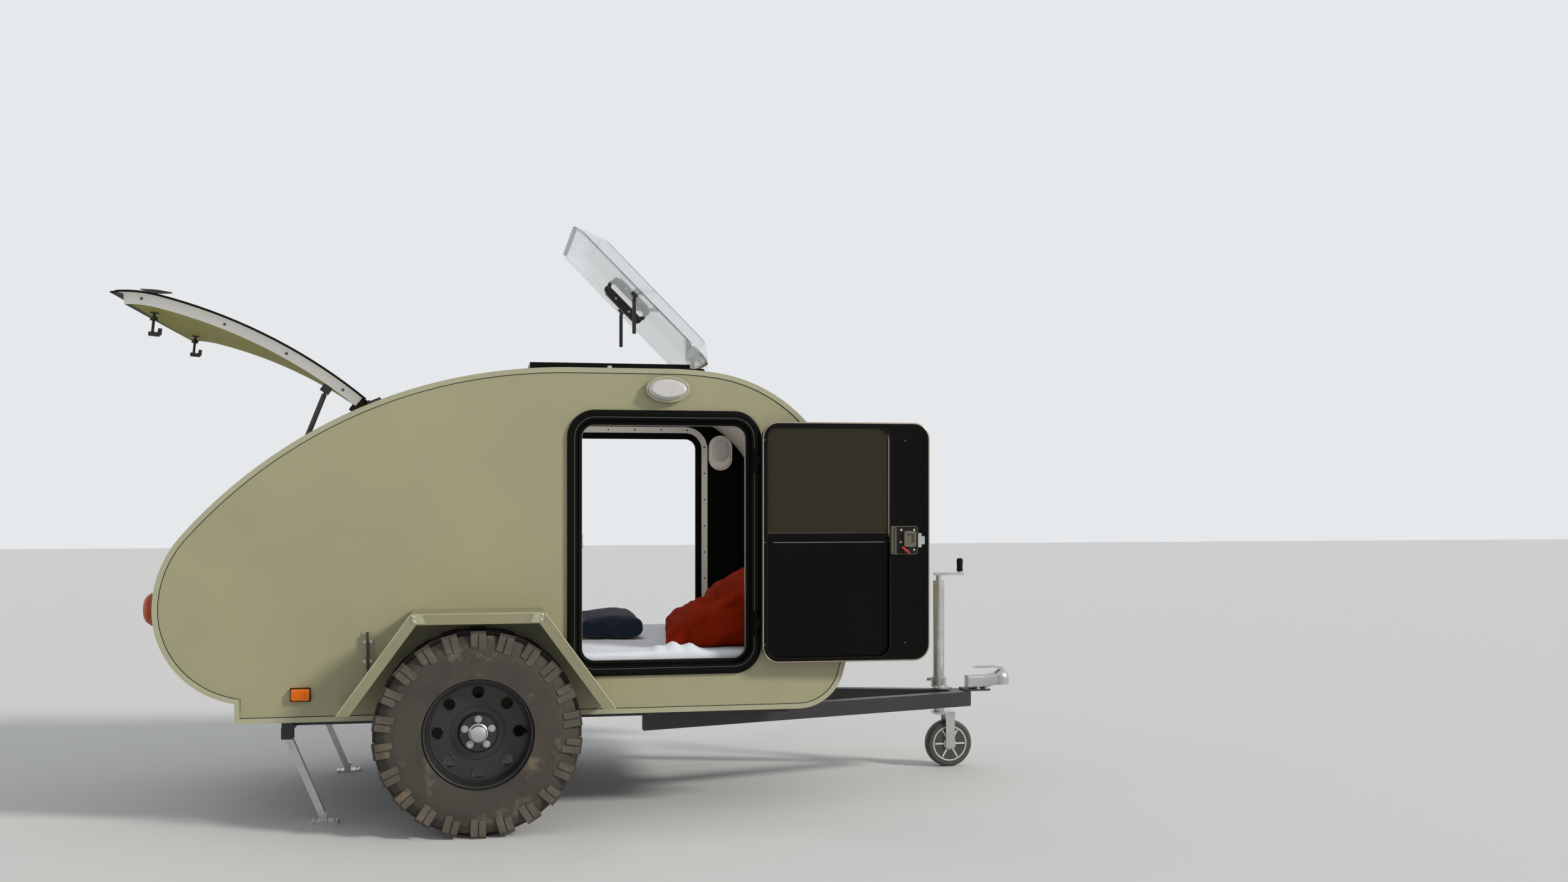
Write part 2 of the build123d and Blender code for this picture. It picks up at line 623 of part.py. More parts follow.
# Outside lamps
marker_x = step_x + 218.0
marker_z = body_bottom + 96.5
marker = panel_y(marker_x, marker_z, 70, 49, 6, wall_out - 8, wall_out)
marker_lens = panel_y(marker_x, marker_z, 62, 41, 8, wall_out - 26, wall_out - 8)
marker += chamfer(marker_lens.edges().filter_by(lambda e: e.bounding_box().max.Y < wall_out - 25), 5)
both("side_markers", marker)
porch_x = door_x + 7.5
porch_z = door_z + door_h / 2 + 75.0
porch_base_t = 22.0
porch_place = Pos(porch_x, wall_out, porch_z) * Rot(90, 0, 0)
porch_base = porch_place * extrude(Ellipse(80, 48), amount=porch_base_t)
porch_lens = porch_place * Pos(0, 0, porch_base_t) * extrude(Ellipse(70, 39), amount=26, taper=22)
both("porch_lamps", porch_base)
both("porch_lenses", porch_lens)
tail_z = body_bottom + 392.0
tail_x = rear_chain[2][0] - rear_arcs[2][0] + trim_t
tail_inset = 98.0
tail_y = tail_inset - body_half_w
tail_base_r = 57.0
tail_lens_r = 52.0
tail_out = 45.0
tail_base = Pos(tail_x - 4, tail_y, tail_z) * Rot(0, 90, 0) * Cylinder(tail_base_r, 36)
tail_base -= whole_outline(trim_t, -body_half_w * 2, body_half_w * 2)
lens_sides = Polyline((tail_out, 0, tail_lens_r - 26), (tail_out, 0, 0), (10, 0, 0), (10, 0, tail_lens_r),
                      (28, 0, tail_lens_r))
lens_round = Edge.make_three_point_arc((28, 0, tail_lens_r), (39, 0, tail_lens_r - 9),
                                       (tail_out, 0, tail_lens_r - 26))
lens_solid = revolve(Face(Wire(lens_sides.edges() + [lens_round])), axis=Axis((0, 0, 0), (1, 0, 0)))
tail_lens = Pos(tail_x, tail_y, tail_z) * Rot(0, 0, 180) * lens_solid
both("tail_lamps", tail_base + tail_lens)

# Skylight frame on the roof, and the clear lid that opens at the rear
sky_ring = block(sky_x[0], sky_x[1], -sky_half_w, sky_half_w, roof_top - 60, sky_top)
sky_ring -= block(sky_x[0] + sky_band, sky_x[1] - sky_band, -sky_half_w + sky_band, sky_half_w - sky_band,
                  roof_top - 100, sky_top + 10)
sky_ring -= whole_outline(trim_t, -inner_half, inner_half)
lid_x, lid_z = lid_hinge
lid_pin_r = 4.0
lid_ear_y = 250.0
for y in (-lid_ear_y, lid_ear_y):
    for side in (-1, 1):
        y0 = y + side * 14 - 6
        sky_ring += block(sky_x[1] - 2, lid_x, y0, y0 + 12, lid_z - 8, lid_z + 8)
        sky_ring += rod_y(lid_x, lid_z, 8, y0, y0 + 12)
    sky_ring += rod_y(lid_x, lid_z, lid_pin_r, y - 19, y + 19)
nodes["skylight_frame"] = sky_ring
lid_rear = lid_x - lid_len
lid_front = lid_x - 6
lid_bottom = sky_top + lid_gap


def tray(grow, base_z):
    low = Plane((0, 0, base_z)) * Pos((lid_rear + lid_front) / 2, 0) * RectangleRounded(
        lid_front - lid_rear - 2 * grow, 2 * lid_half_w - 2 * grow, 60 - grow)
    high = Plane((0, 0, base_z + lid_crown)) * Pos((lid_rear + lid_front) / 2 + 20, 0) * RectangleRounded(
        lid_front - lid_rear - 150 - 2 * grow, 2 * lid_half_w - 150 - 2 * grow, 40 - grow)
    return loft([low.face(), high.face()])


lid_inner_t = 3.0
lid_inside = tray(lid_t, lid_bottom - lid_t)
lid = tray(0, lid_bottom) - (lid_inside & block(lid_rear - 10, lid_front + 10, -lid_half_w, lid_half_w,
                                                lid_bottom + lid_inner_t, lid_bottom + 2 * lid_crown))
lid_ring = Pos((lid_rear + lid_front) / 2, 0, lid_bottom) * extrude(
    RectangleRounded(lid_front - lid_rear, 2 * lid_half_w, 60)
    - RectangleRounded(lid_front - lid_rear - 30, 2 * lid_half_w - 30, 45), amount=-5)
lid += lid_ring
for y in (-lid_ear_y, lid_ear_y):
    tab = block(lid_x - 40, lid_x, y - 7, y + 7, lid_bottom - 5, lid_bottom + 1)
    tab += rod_y(lid_x, lid_z, 8, y - 7, y + 7)
    tab += block(lid_x - 8, lid_x + 8, y - 7, y + 7, lid_z, lid_bottom)
    lid += tab
    lid -= rod_y(lid_x, lid_z, lid_pin_r + pin_play, y - 12, y + 12)
nodes["skylight_lid"] = turned(lid, lid_x, lid_z, lid_open)

# Grab bar and the two stay arms, all under the lid's inner skin
bar_x = (lid_x - 505.0, lid_x - 302.0)
bar_drop = 22.0
bar_t = 22.0
bar_half = 15.0
bar_groove = 2.0
grab_z = lid_bottom - bar_drop
grab = block(bar_x[0] + 22, bar_x[1] - 22, -bar_half, bar_half, grab_z - bar_t, grab_z)
for near, far, lean in ((bar_x[0] + 28, bar_x[0], -1), (bar_x[1] - 28, bar_x[1], 1)):
    leg = Polyline((near, 0, grab_z - bar_t), (far, 0, lid_bottom - 8), (far, 0, lid_bottom),
                   (far - lean * 12, 0, lid_bottom), (near, 0, grab_z), (near, 0, grab_z - bar_t))
    grab += Pos(0, -bar_half, 0) * extrude(Face(Wire(leg.edges())), amount=2 * bar_half, dir=(0, 1, 0))
for x in (bar_x[0] + 62, bar_x[1] - 62):
    groove = block(x - 2, x + 2, -bar_half - 1, bar_half + 1, grab_z - bar_t - 1, grab_z + 1)
    groove -= block(x - 3, x + 3, bar_groove - bar_half, bar_half - bar_groove, grab_z - bar_t + bar_groove,
                    grab_z - bar_groove)
    grab -= groove
lid_parts = [turned(grab, lid_x, lid_z, lid_open)]
stay_y = 270.0
stay_len = 150.0
for y in (-stay_y, stay_y):
    foot = block(lid_x - 408, lid_x - 380, y - 9, y + 9, lid_bottom - 14, lid_bottom)
    top = turned_point(lid_x - 394, lid_bottom - 8, lid_x, lid_z, lid_open)
    arm = block(top[0] - 5, top[0] + 5, y - 3, y + 3, top[1] - stay_len, top[1])
    lid_parts.append(turned(foot, lid_x, lid_z, lid_open) + arm)
nodes["skylight_stays"] = Compound(children=lid_parts)

# Fenders: folded plate with a lip down its outer edge
fender_in = wall_out
fender_edge = wall_out - fender_out
slope_run = (fender_top - fender_low) / math.tan(math.radians(fender_slope))
slope_x = fender_top_half + slope_run


def fender_outline(drop):
    """Side edges of the fender plate, moved down by drop."""
    shift = drop * math.tan(math.radians(fender_slope / 2))
    lean = drop / math.sin(math.radians(fender_slope))
    top = fender_top - drop
    half = fender_top_half - shift
    low = slope_x - lean
    return [(axle_x - low, fender_low), (axle_x - half, top), (axle_x + half, top), (axle_x + low, fender_low)]


def fender_band(drop, y0, y1):
    outer = fender_outline(0)
    inner = fender_outline(drop)
    loop = outer + inner[::-1] + outer[:1]
    points = [(x, 0, z) for x, z in loop]
    return Pos(0, y0, 0) * extrude(Face(Wire(Polyline(*points).edges())), amount=y1 - y0, dir=(0, 1, 0))


fender = fender_band(fender_t, fender_edge, fender_in)
fender += fender_band(fender_lip, fender_edge, fender_edge + fender_t)
bracket_x = axle_x - 377.0
bracket_z = (fender_low + 110.0, fender_low + 260.0)
fender += block(bracket_x - 20, bracket_x + 20, wall_out - 4, wall_out, bracket_z[0], bracket_z[1])
fender += block(bracket_x - 3, bracket_x + 3, wall_out - 26, wall_out - 4, bracket_z[0], bracket_z[1])
fender_gap = 6.0
door_clear = panel_y(door_x, door_z, door_w + 2 * fender_gap, door_h + 2 * fender_gap,
                     door_corner_r + fender_gap, flange_face - fender_gap, wall_out + 1)
fender -= door_clear
pair("fender", fender)

# Chassis: ladder frame under the floor, rear steady brackets on its last member
frame_top = body_bottom + trim_t
frame_low = frame_top - rail_h
ladder = None
for y in (-rail_y, rail_y):
    rail = block(chassis_rear, chassis_front, y - rail_w / 2, y + rail_w / 2, frame_low, frame_top)
    ladder = rail if ladder is None else ladder + rail
# x of each cross member and its half width
cross_members = [(chassis_rear + rail_h / 2, rail_y + 150.0), (arm_x, rail_y + 90.0),
                 (chassis_front - rail_h / 2, rail_y + 30.0)]
for x, half in cross_members:
    ladder += block(x - rail_h / 2, x + rail_h / 2, -half, half, frame_low, frame_top)
steady_z = frame_low - 26.0
steady_pin_r = 6.0
for y in (-steady_y, steady_y):
    for side in (-1, 1):
        y0 = y + side * 22 - 3
        ladder += block(steady_x - 20, steady_x + 20, y0, y0 + 6, steady_z - 14, frame_low)
    ladder += rod_y(steady_x, steady_z, steady_pin_r, y - 24, y + 24)
nodes["chassis_frame"] = ladder

# Drawbar: two beams that run from under the floor to the coupling
bar_top = frame_low
bar_low = bar_top - drawbar_h
nose_y = 34.0
beam_back_y = rail_y - 10
bar_end = coupling_x - 150.0
half_bar = drawbar_w / 2
beam_face = Polyline((drawbar_back, -beam_back_y - half_bar, bar_low), (bar_end, -nose_y - half_bar, bar_low),
                     (bar_end, -nose_y + half_bar, bar_low), (drawbar_back, -beam_back_y + half_bar, bar_low),
                     (drawbar_back, -beam_back_y - half_bar, bar_low))
beam = extrude(Face(Wire(beam_face.edges())), amount=drawbar_h, dir=(0, 0, 1))
nose_plate = block(coupling_x - 230, coupling_x - 150, -nose_y - 25, nose_y + 25, bar_low, bar_top)
coupling_plate = block(coupling_x - 170, coupling_x - 60, -45, 45, bar_top, bar_top + 8)
nodes["drawbar"] = beam + flip(beam) + nose_plate + coupling_plate
ball_z = bar_top + 50.0
socket_half = 28.0
dome_r = 36.0
dome_sides = Polyline((12, 0, 32), (0, 0, 32), (0, 0, -socket_half), (dome_r, 0, -socket_half), (dome_r, 0, 0))
dome_round = Edge.make_three_point_arc((dome_r, 0, 0), (26, 0, 24), (12, 0, 32))
head = Pos(coupling_x, 0, ball_z) * revolve(Face(Wire(dome_sides.edges() + [dome_round])), axis=Axis.Z)
rear_x = coupling_x - 150
neck_x = coupling_x - 76
rear_mouth = Plane(origin=(rear_x, 0, bar_top + 35), z_dir=(1, 0, 0)) * RectangleRounded(54, 52, 8)
neck_mouth = Plane(origin=(neck_x, 0, bar_top + 35), z_dir=(1, 0, 0)) * RectangleRounded(54, 50, 8)
dome_mouth = Plane(origin=(coupling_x - 8, 0, ball_z), z_dir=(1, 0, 0)) * RectangleRounded(44, 60, 8)
head += loft([rear_mouth.face(), neck_mouth.face()], ruled=True)
head += loft([neck_mouth.face(), dome_mouth.face()], ruled=True)
head -= Pos(coupling_x, 0, ball_z - socket_half + 20) * Cylinder(ball_r, 42)
lever = Polyline((-6, 0, 30), (14, 0, 30), (8, 0, 44), (-26, 0, 52), (-112, 0, 50), (-122, 0, 44),
                 (-112, 0, 42), (-30, 0, 43), (-8, 0, 37), close=True)
lever_solid = Pos(0, -13, 0) * extrude(Face(Wire(lever.edges())), amount=26, dir=(0, 1, 0))
head += Pos(coupling_x, 0, ball_z) * lever_solid
nodes["coupling_head"] = head

# Axle: square tube under the ladder, trailing arms and stub axles
tube_half = 30.0
arm_y0 = body_half_w - 110.0
arm_y1 = arm_y0 + 28.0
hub_eye_r = 30.0
axle = block(arm_x - tube_half, arm_x + tube_half, -arm_y0, arm_y0, frame_low - 2 * tube_half, frame_low)
arm_dx = axle_x - arm_x
arm_dz = tyre_r - (frame_low - tube_half)
arm_len = math.hypot(arm_dx, arm_dz)
arm_tilt = math.degrees(math.atan2(arm_dz, -arm_dx))
arm_mid_x = (axle_x + arm_x) / 2
arm_mid_z = (tyre_r + frame_low - tube_half) / 2
for side in (-1, 1):
    y_mid = side * (arm_y0 + arm_y1) / 2
    arm = Pos(arm_mid_x, y_mid, arm_mid_z) * Rot(0, arm_tilt, 0) * Box(arm_len, arm_y1 - arm_y0, 52)
    arm += rod_y(axle_x, tyre_r, hub_eye_r - 2, y_mid - 14, y_mid + 14)
    arm += rod_y(arm_x, frame_low - tube_half, hub_eye_r, y_mid - 14, y_mid + 14)
    stub_end = track_y + 30
    lo, hi = sorted((side * arm_y1, side * stub_end))
    axle += arm
    axle += rod_y(axle_x, tyre_r, hub_bore_r, lo, hi)
nodes["axle_beam"] = axle

# Wheels: revolved about the stub axle, right wheel
wheel_y = -track_y


def revolve_y(points, arc=360):
    """Revolves an (offset along y, radius) profile about the axle line."""
    loop = [(0, p[0], p[1]) for p in points + points[:1]]
    solid = revolve(Face(Wire(Polyline(*loop).edges())), axis=Axis((0, 0, 0), (0, 1, 0)), revolution_arc=arc)
    return Pos(axle_x, wheel_y, tyre_r) * solid


half_w = tyre_w / 2
rim_half = 84.0
tread_r = tyre_r - tread_t
shoulder_r = tread_r - 28.0
side_r = rim_r + 85.0
carcass_sides = 2 * lug_count
# place across the tyre and radius of each section of the carcass
sections = [(-rim_half, rim_r + 6), (-half_w, side_r), (-half_w * 0.95, shoulder_r), (-half_w * 0.8, tread_r),
            (half_w * 0.8, tread_r), (half_w * 0.95, shoulder_r), (half_w, side_r), (rim_half, rim_r + 6)]


def tyre_section(y, radius):
    return Plane(origin=(0, y, 0), z_dir=(0, 1, 0)) * RegularPolygon(radius, carcass_sides)


tyre = None
for (y0, r0), (y1, r1) in zip(sections, sections[1:]):
    step = loft([tyre_section(y0, r0).face(), tyre_section(y1, r1).face()], ruled=True)
    tyre = step if tyre is None else tyre + step
# each row: middle and width as shares of half the tyre's width, lowest radius, length, share of a pitch
lug_rows = [(-0.76, 0.42, tread_r - 36, 52.0, 0.0), (0.76, 0.42, tread_r - 36, 52.0, 0.0),
            (-0.25, 0.40, tread_r - 8, 48.0, 0.5), (0.25, 0.40, tread_r - 8, 48.0, 0.5)]
lugs = []
for mid_share, width_share, low_r, length, shift in lug_rows:
    for i in range(lug_count):
        lug = Box(length, width_share * half_w, tyre_r - low_r)
        lug = Pos(0, mid_share * half_w, (low_r + tyre_r) / 2) * lug
        lugs.append(Rot(0, (i + shift) * 360 / lug_count, 0) * lug)
tyre = tyre.fuse(*lugs).solids().sort_by(SortBy.VOLUME)[-1]
tyre -= rod_y(0, 0, rim_r, -tyre_w, tyre_w)
pair("tyre", Pos(axle_x, wheel_y, tyre_r) * tyre)
drum_r = 110.0
drum_end = track_y - body_half_w - trim_t - 8.0
disc_y = -12.0
rim_profile = [(-rim_half, rim_r), (-rim_half, rim_r - 12), (disc_y - 20, rim_r - 20),
               (disc_y - 20, 70), (disc_y - 42, 62), (disc_y - 42, hub_bore_r + spindle_play),
               (drum_end, hub_bore_r + spindle_play), (drum_end, drum_r),
               (disc_y + 4, drum_r), (disc_y + 4, rim_r - 20), (rim_half, rim_r - 12), (rim_half, rim_r)]
rim = revolve_y(rim_profile)
window = Pos(axle_x, wheel_y + disc_y, tyre_r) * Rot(90, 0, 0) * Pos(138, 0, 0) * Cylinder(20, 90)
for i in range(8):
    rim -= Pos(axle_x, 0, tyre_r) * Rot(0, i * 45, 0) * Pos(-axle_x, 0, -tyre_r) * window
pair("rim", rim)

# Jockey wheel: clamp on the drawbar, sliding post, fork and wheel
beam_share = (jockey_x - drawbar_back) / (coupling_x - 150 - drawbar_back)
beam_y = beam_back_y + (nose_y - beam_back_y) * beam_share
jockey_y = beam_y + drawbar_w / 2 + jockey_tube_r + jockey_offset
clamp_t = 8.0
clamp_h = 42.0
clamp = rod_z(jockey_x, jockey_y, jockey_tube_r + 9, bar_top, bar_top + clamp_h)
clamp += block(jockey_x - 26, jockey_x + 26, beam_y - half_bar, jockey_y, bar_top, bar_top + clamp_t)
clamp += rod_y(jockey_x, bar_top + clamp_h * 0.6, 7, jockey_y, jockey_y + jockey_tube_r + 34)
clamp += Pos(jockey_x, jockey_y + jockey_tube_r + 34, bar_top + clamp_h * 0.6) * Box(70, 9, 12)
clamp -= rod_z(jockey_x, jockey_y, jockey_tube_r + 0.1, bar_low - 5, bar_top + 60)
nodes["jockey_clamp"] = clamp
post_low = 262.0
post_top = bar_top + 457.0
post = rod_z(jockey_x, jockey_y, jockey_tube_r, post_low, post_top)
post += rod_z(jockey_x, jockey_y, 12, post_top, post_top + 22)
post += Pos(jockey_x + 45, jockey_y, post_top + 28) * Box(130, 22, 12)
post += rod_z(jockey_x + 95, jockey_y, 9, post_top + 34, post_top + 90)
swivel_r = 16.0
post -= rod_z(jockey_x, jockey_y, swivel_r + pin_play, post_low - 1, post_low + 70)
nodes["jockey_post"] = post
wheel_x = jockey_x + jockey_trail
fork_half = jockey_wheel_w / 2 + 6
fork = rod_z(jockey_x, jockey_y, swivel_r, 235, post_low + 68)
fork += rod_z(jockey_x, jockey_y, 24, 235, post_low - 1)
fork += block(jockey_x - 24, wheel_x + 22, jockey_y - fork_half - 5, jockey_y + fork_half + 5, 226, 236)
for side in (-1, 1):
    y0 = jockey_y + side * (fork_half + 2.5) - 2.5
    fork += block(wheel_x - 20, wheel_x + 20, y0, y0 + 5, jockey_wheel_r - 18, 236)
jockey_axle_r = 8.0
fork += rod_y(wheel_x, jockey_wheel_r, jockey_axle_r, jockey_y - fork_half, jockey_y + fork_half)
nodes["jockey_fork"] = fork
wheel_side = jockey_wheel_w / 2
jockey_wheel = rod_y(wheel_x, jockey_wheel_r, jockey_wheel_r, jockey_y - wheel_side, jockey_y + wheel_side)
jockey_wheel = chamfer(jockey_wheel.edges().filter_by(GeomType.CIRCLE), 10)
jockey_wheel -= rod_y(wheel_x, jockey_wheel_r, jockey_axle_r + pin_play, jockey_y - 100, jockey_y + 100)
nodes["jockey_wheel"] = jockey_wheel

# Rear corner steadies, lowered to the ground
steady_len = (steady_z - 12) / math.sin(math.radians(steady_angle))


def steady(y):
    """Leg made level, pointing forward from its pivot, then swung down."""
    leg = block(-14, steady_len, -18, 18, -12, 12) - block(22, steady_len - 20, -14, 14, -20, 9)
    leg -= Rot(90, 0, 0) * Cylinder(steady_pin_r + pin_play, 60)
    leg = Pos(steady_x, y, steady_z) * Rot(0, steady_angle, 0) * leg
    tip_x = steady_x + steady_len * math.cos(math.radians(steady_angle))
    leg += block(tip_x - 45, tip_x + 45, y - 35, y + 35, 0, 8)
    leg += block(tip_x - 16, tip_x + 10, y - 14, y + 14, 6, 36)
    return leg - block(-2000, 2000, y - 100, y + 100, -200, 0)


nodes["steady_right"] = steady(-steady_y)
nodes["steady_left"] = steady(steady_y)

# The origin goes under the middle of the whole caravan, on the ground
whole = Compound(children=[Compound(children=list(n.solids())) for n in nodes.values()])
extent = whole.bounding_box()
origin_x = (extent.min.X + extent.max.X) / 2
for name, shape in nodes.items():
    placed = Pos(-origin_x, 0, 0) * shape
    solids = placed.solids()
    if len(solids) == 1:
        export_step(solids[0], f"parts/{name}.step")
    else:
        export_step(Compound(children=list(solids)), f"parts/{name}.step")
print("origin_x", round(origin_x, 3), "extent", extent.size)
print("strut stroke", round(strut_stroke, 1), "turn", round(strut_turn, 2), "open", round(open_len, 1))
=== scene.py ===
"""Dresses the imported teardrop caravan: materials, soft goods, fittings, light and camera.

Metres, +X forward, +Z up.
"""
import math

import bmesh
import bpy
from mathutils import Matrix, Vector, noise
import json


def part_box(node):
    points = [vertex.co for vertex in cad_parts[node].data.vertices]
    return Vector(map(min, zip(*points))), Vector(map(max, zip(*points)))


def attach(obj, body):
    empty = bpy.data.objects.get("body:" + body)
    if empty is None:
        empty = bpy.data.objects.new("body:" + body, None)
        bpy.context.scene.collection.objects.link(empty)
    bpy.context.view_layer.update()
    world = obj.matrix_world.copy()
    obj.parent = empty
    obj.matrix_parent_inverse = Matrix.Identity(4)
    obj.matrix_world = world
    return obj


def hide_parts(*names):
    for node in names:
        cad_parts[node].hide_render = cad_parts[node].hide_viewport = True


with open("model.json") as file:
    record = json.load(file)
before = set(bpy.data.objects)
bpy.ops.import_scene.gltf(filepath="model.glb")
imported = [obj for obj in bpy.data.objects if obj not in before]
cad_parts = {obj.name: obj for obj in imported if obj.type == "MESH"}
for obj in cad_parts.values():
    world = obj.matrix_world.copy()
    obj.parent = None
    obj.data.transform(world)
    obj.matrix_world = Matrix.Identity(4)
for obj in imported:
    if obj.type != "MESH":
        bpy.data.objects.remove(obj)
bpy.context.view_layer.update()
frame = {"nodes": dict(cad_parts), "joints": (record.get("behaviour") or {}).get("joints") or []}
cad = frame["nodes"]

# sizes read from the frame
HALF_W = abs(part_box("side_panel_right")[0].y)
tyre_low, tyre_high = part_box("tyre_right")
AXLE_X = (tyre_low.x + tyre_high.x) / 2
TYRE_R = (tyre_high.z - tyre_low.z) / 2
TRACK_Y = abs(tyre_low.y + tyre_high.y) / 2

# colours, linear
OLIVE = (0.335, 0.318, 0.187)
OLIVE_TRIM = (0.37, 0.36, 0.235)
OLIVE_STEEL = (0.25, 0.235, 0.14)
# hatch underside: the body's paint with a painted yellow-green reflection of light bounced off grass
HATCH_UNDERSIDE_GRASS_TINT = (0.32, 0.305, 0.050)
RIB_GREY = (0.84, 0.82, 0.77)
LINING_BLACK = (0.004, 0.004, 0.0036)
FRAME_BLACK = (0.0036, 0.0036, 0.0032)
BRONZE = (0.37, 0.305, 0.245)
RING_GREY = (0.80, 0.79, 0.72)
LINER_GREY = (0.66, 0.64, 0.56)
QUILT = (0.25, 0.016, 0.002)
NAVY = (0.014, 0.022, 0.045)
# white sheet with a painted blue tint: the reflection of sky light on it in shade
SHEET_SKY_TINTED = (0.70, 0.74, 0.79)
RUBBER_BROWN = (0.050, 0.041, 0.032)
PLY = (0.52, 0.38, 0.22)
CLOTH_ROUGH = 0.9


# materials, each kept under the name of its look
MAT = {}


def add_object(name, data):
    """A new object in the scene."""
    made = bpy.data.objects.new(name, data)
    bpy.context.scene.collection.objects.link(made)
    return made


def principled(tree):
    """The tree's Principled shader."""
    return next(n for n in tree.nodes if n.type == "BSDF_PRINCIPLED")


def feed(tree, node, inputs):
    """Gives each named input its value, or links it to the output that is given for it."""
    for key, value in inputs.items():
        if isinstance(value, bpy.types.NodeSocket):
            tree.links.new(value, node.inputs[key])
        else:
            node.inputs[key].default_value = value


def add_node(tree, kind, output=0, **inputs):
    """Output of a new shader node."""
    node = tree.nodes.new("ShaderNode" + kind)
    feed(tree, node, inputs)
    return node.outputs[output]


def new_material(name, inputs):
    """Makes a material whose Principled shader has these inputs, and returns its tree."""
    made = bpy.data.materials.new(name)
    made.use_nodes = True
    feed(made.node_tree, principled(made.node_tree), inputs)
    MAT[name] = made
    return made.node_tree


def texture(tree, kind, scale, stretch=(1, 1, 1), **settings):
    """Output of a procedural texture, Noise or Wave, in the object's own coordinates."""
    place = add_node(tree, "Mapping", Vector=add_node(tree, "TexCoord", "Object"), Scale=stretch)
    fac = add_node(tree, "Tex" + kind, "Fac", Vector=place, Scale=scale)
    for key, value in settings.items():
        if key in fac.node.inputs:
            fac.node.inputs[key].default_value = value
        else:
            setattr(fac.node, key, value)
    return fac


def shade(colour, share=1.0):
    """A colour made lighter or darker, with its alpha."""
    return tuple(min(1.0, c * share) for c in colour) + (1.0,)


def ramp(tree, source, low, high, colour_low, colour_high):
    """Colour that runs from one to the other while the source goes from low to high."""
    colour_out = add_node(tree, "ValToRGB", "Color", Fac=source)
    first, last = colour_out.node.color_ramp.elements
    first.position, first.color = low, colour_low
    last.position, last.color = high, colour_high
    return colour_out


def add_bump(tree, source, strength, distance):
    """Chains one more bump in front of the shader's normal."""
    normal = principled(tree).inputs["Normal"]
    chained = {"Normal": normal.links[0].from_socket} if normal.is_linked else {}
    bump = add_node(tree, "Bump", "Normal", Strength=strength, Distance=distance, Height=source, **chained)
    tree.links.new(bump, normal)


def surface(name, colour, roughness, metallic=0.0, mottle=0.08, mottle_scale=4.0, grain=None, wear=None,
            rough_spread=0.06, coat=0.0, sheen=0.0, gloss=0.5, grain_depth=0.001):
    """Mottled colour with uneven roughness; returns the material's tree.

    grain is a fine bump's scale and strength; wear is its colour, its scale and where it starts.
    """
    tree = new_material(name, {"Metallic": metallic, "Coat Weight": coat, "Sheen Weight": sheen,
                               "Specular IOR Level": gloss})
    large = texture(tree, "Noise", mottle_scale, Detail=5.0)
    colour_out = ramp(tree, large, 0.3, 0.7, shade(colour, 1 - mottle), shade(colour, 1 + mottle))
    if wear:
        wear_colour, wear_scale, wear_from = wear
        spots = texture(tree, "Noise", wear_scale, Detail=8.0, Roughness=0.7)
        mask = ramp(tree, spots, wear_from, wear_from + 0.12, (0, 0, 0, 1), (1, 1, 1, 1))
        colour_out = add_node(tree, "MixRGB", "Color", Fac=mask, Color1=colour_out, Color2=shade(wear_colour))
    fine = texture(tree, "Noise", mottle_scale * 9, Detail=4.0)
    spread = add_node(tree, "MapRange", "Result", **{
        "Value": fine, "To Min": max(0.02, roughness - rough_spread),
        "To Max": min(1.0, roughness + rough_spread)})
    feed(tree, principled(tree), {"Base Color": colour_out, "Roughness": spread})
    if grain:
        scale, strength = grain
        add_bump(tree, texture(tree, "Noise", scale, Detail=3.0), strength, grain_depth)
    return tree


def clear(name, colour, roughness):
    """Clear plastic with a faint unevenness."""
    tree = new_material(name, {"Base Color": shade(colour), "Roughness": roughness, "IOR": 1.49,
                               "Transmission Weight": 1.0})
    add_bump(tree, texture(tree, "Noise", 14.0, Detail=4.0), 0.12, 0.002)


def weave(name, colour, scale, strength, mottle=0.08, sheen=0.3, gloss=0.2):
    """Woven cloth: two crossed waves as bump over a mottled colour."""
    tree = surface(name, colour, CLOTH_ROUGH, mottle=mottle, mottle_scale=6.0, sheen=sheen, gloss=gloss)
    for direction in ("X", "Y"):
        thread = texture(tree, "Wave", scale, bands_direction=direction, Distortion=0.6)
        add_bump(tree, thread, strength, 0.0006)


def plywood(name):
    """Pale wood with its grain drawn out along one axis."""
    tree = surface(name, PLY, 0.5, mottle=0.10, mottle_scale=3.0, coat=0.2)
    lines = texture(tree, "Noise", 5.0, stretch=(9.0, 1.0, 9.0), Detail=6.0)
    grain = ramp(tree, lines, 0.35, 0.65, shade(PLY, 0.72), shade(PLY, 1.12))
    tree.links.new(grain, principled(tree).inputs["Base Color"])
    add_bump(tree, lines, 0.15, 0.001)


def insect_mesh(name):
    """Fine dark mesh that lets part of the light through."""
    tree = new_material(name, {"Base Color": (0.040, 0.036, 0.023, 1.0), "Roughness": 0.7,
                               "Specular IOR Level": 0.08, "Alpha": 0.92})
    for direction in ("X", "Z"):
        add_bump(tree, texture(tree, "Wave", 260.0, bands_direction=direction), 0.5, 0.0005)


def ribbed(name, colour, ribs, transmission):
    """Lens plastic with fine moulded ribs across it."""
    tree = new_material(name, {"Base Color": shade(colour), "Roughness": 0.16, "Coat Weight": 0.2,
                               "Transmission Weight": transmission})
    add_bump(tree, texture(tree, "Wave", ribs, bands_direction="X"), 0.8, 0.002)


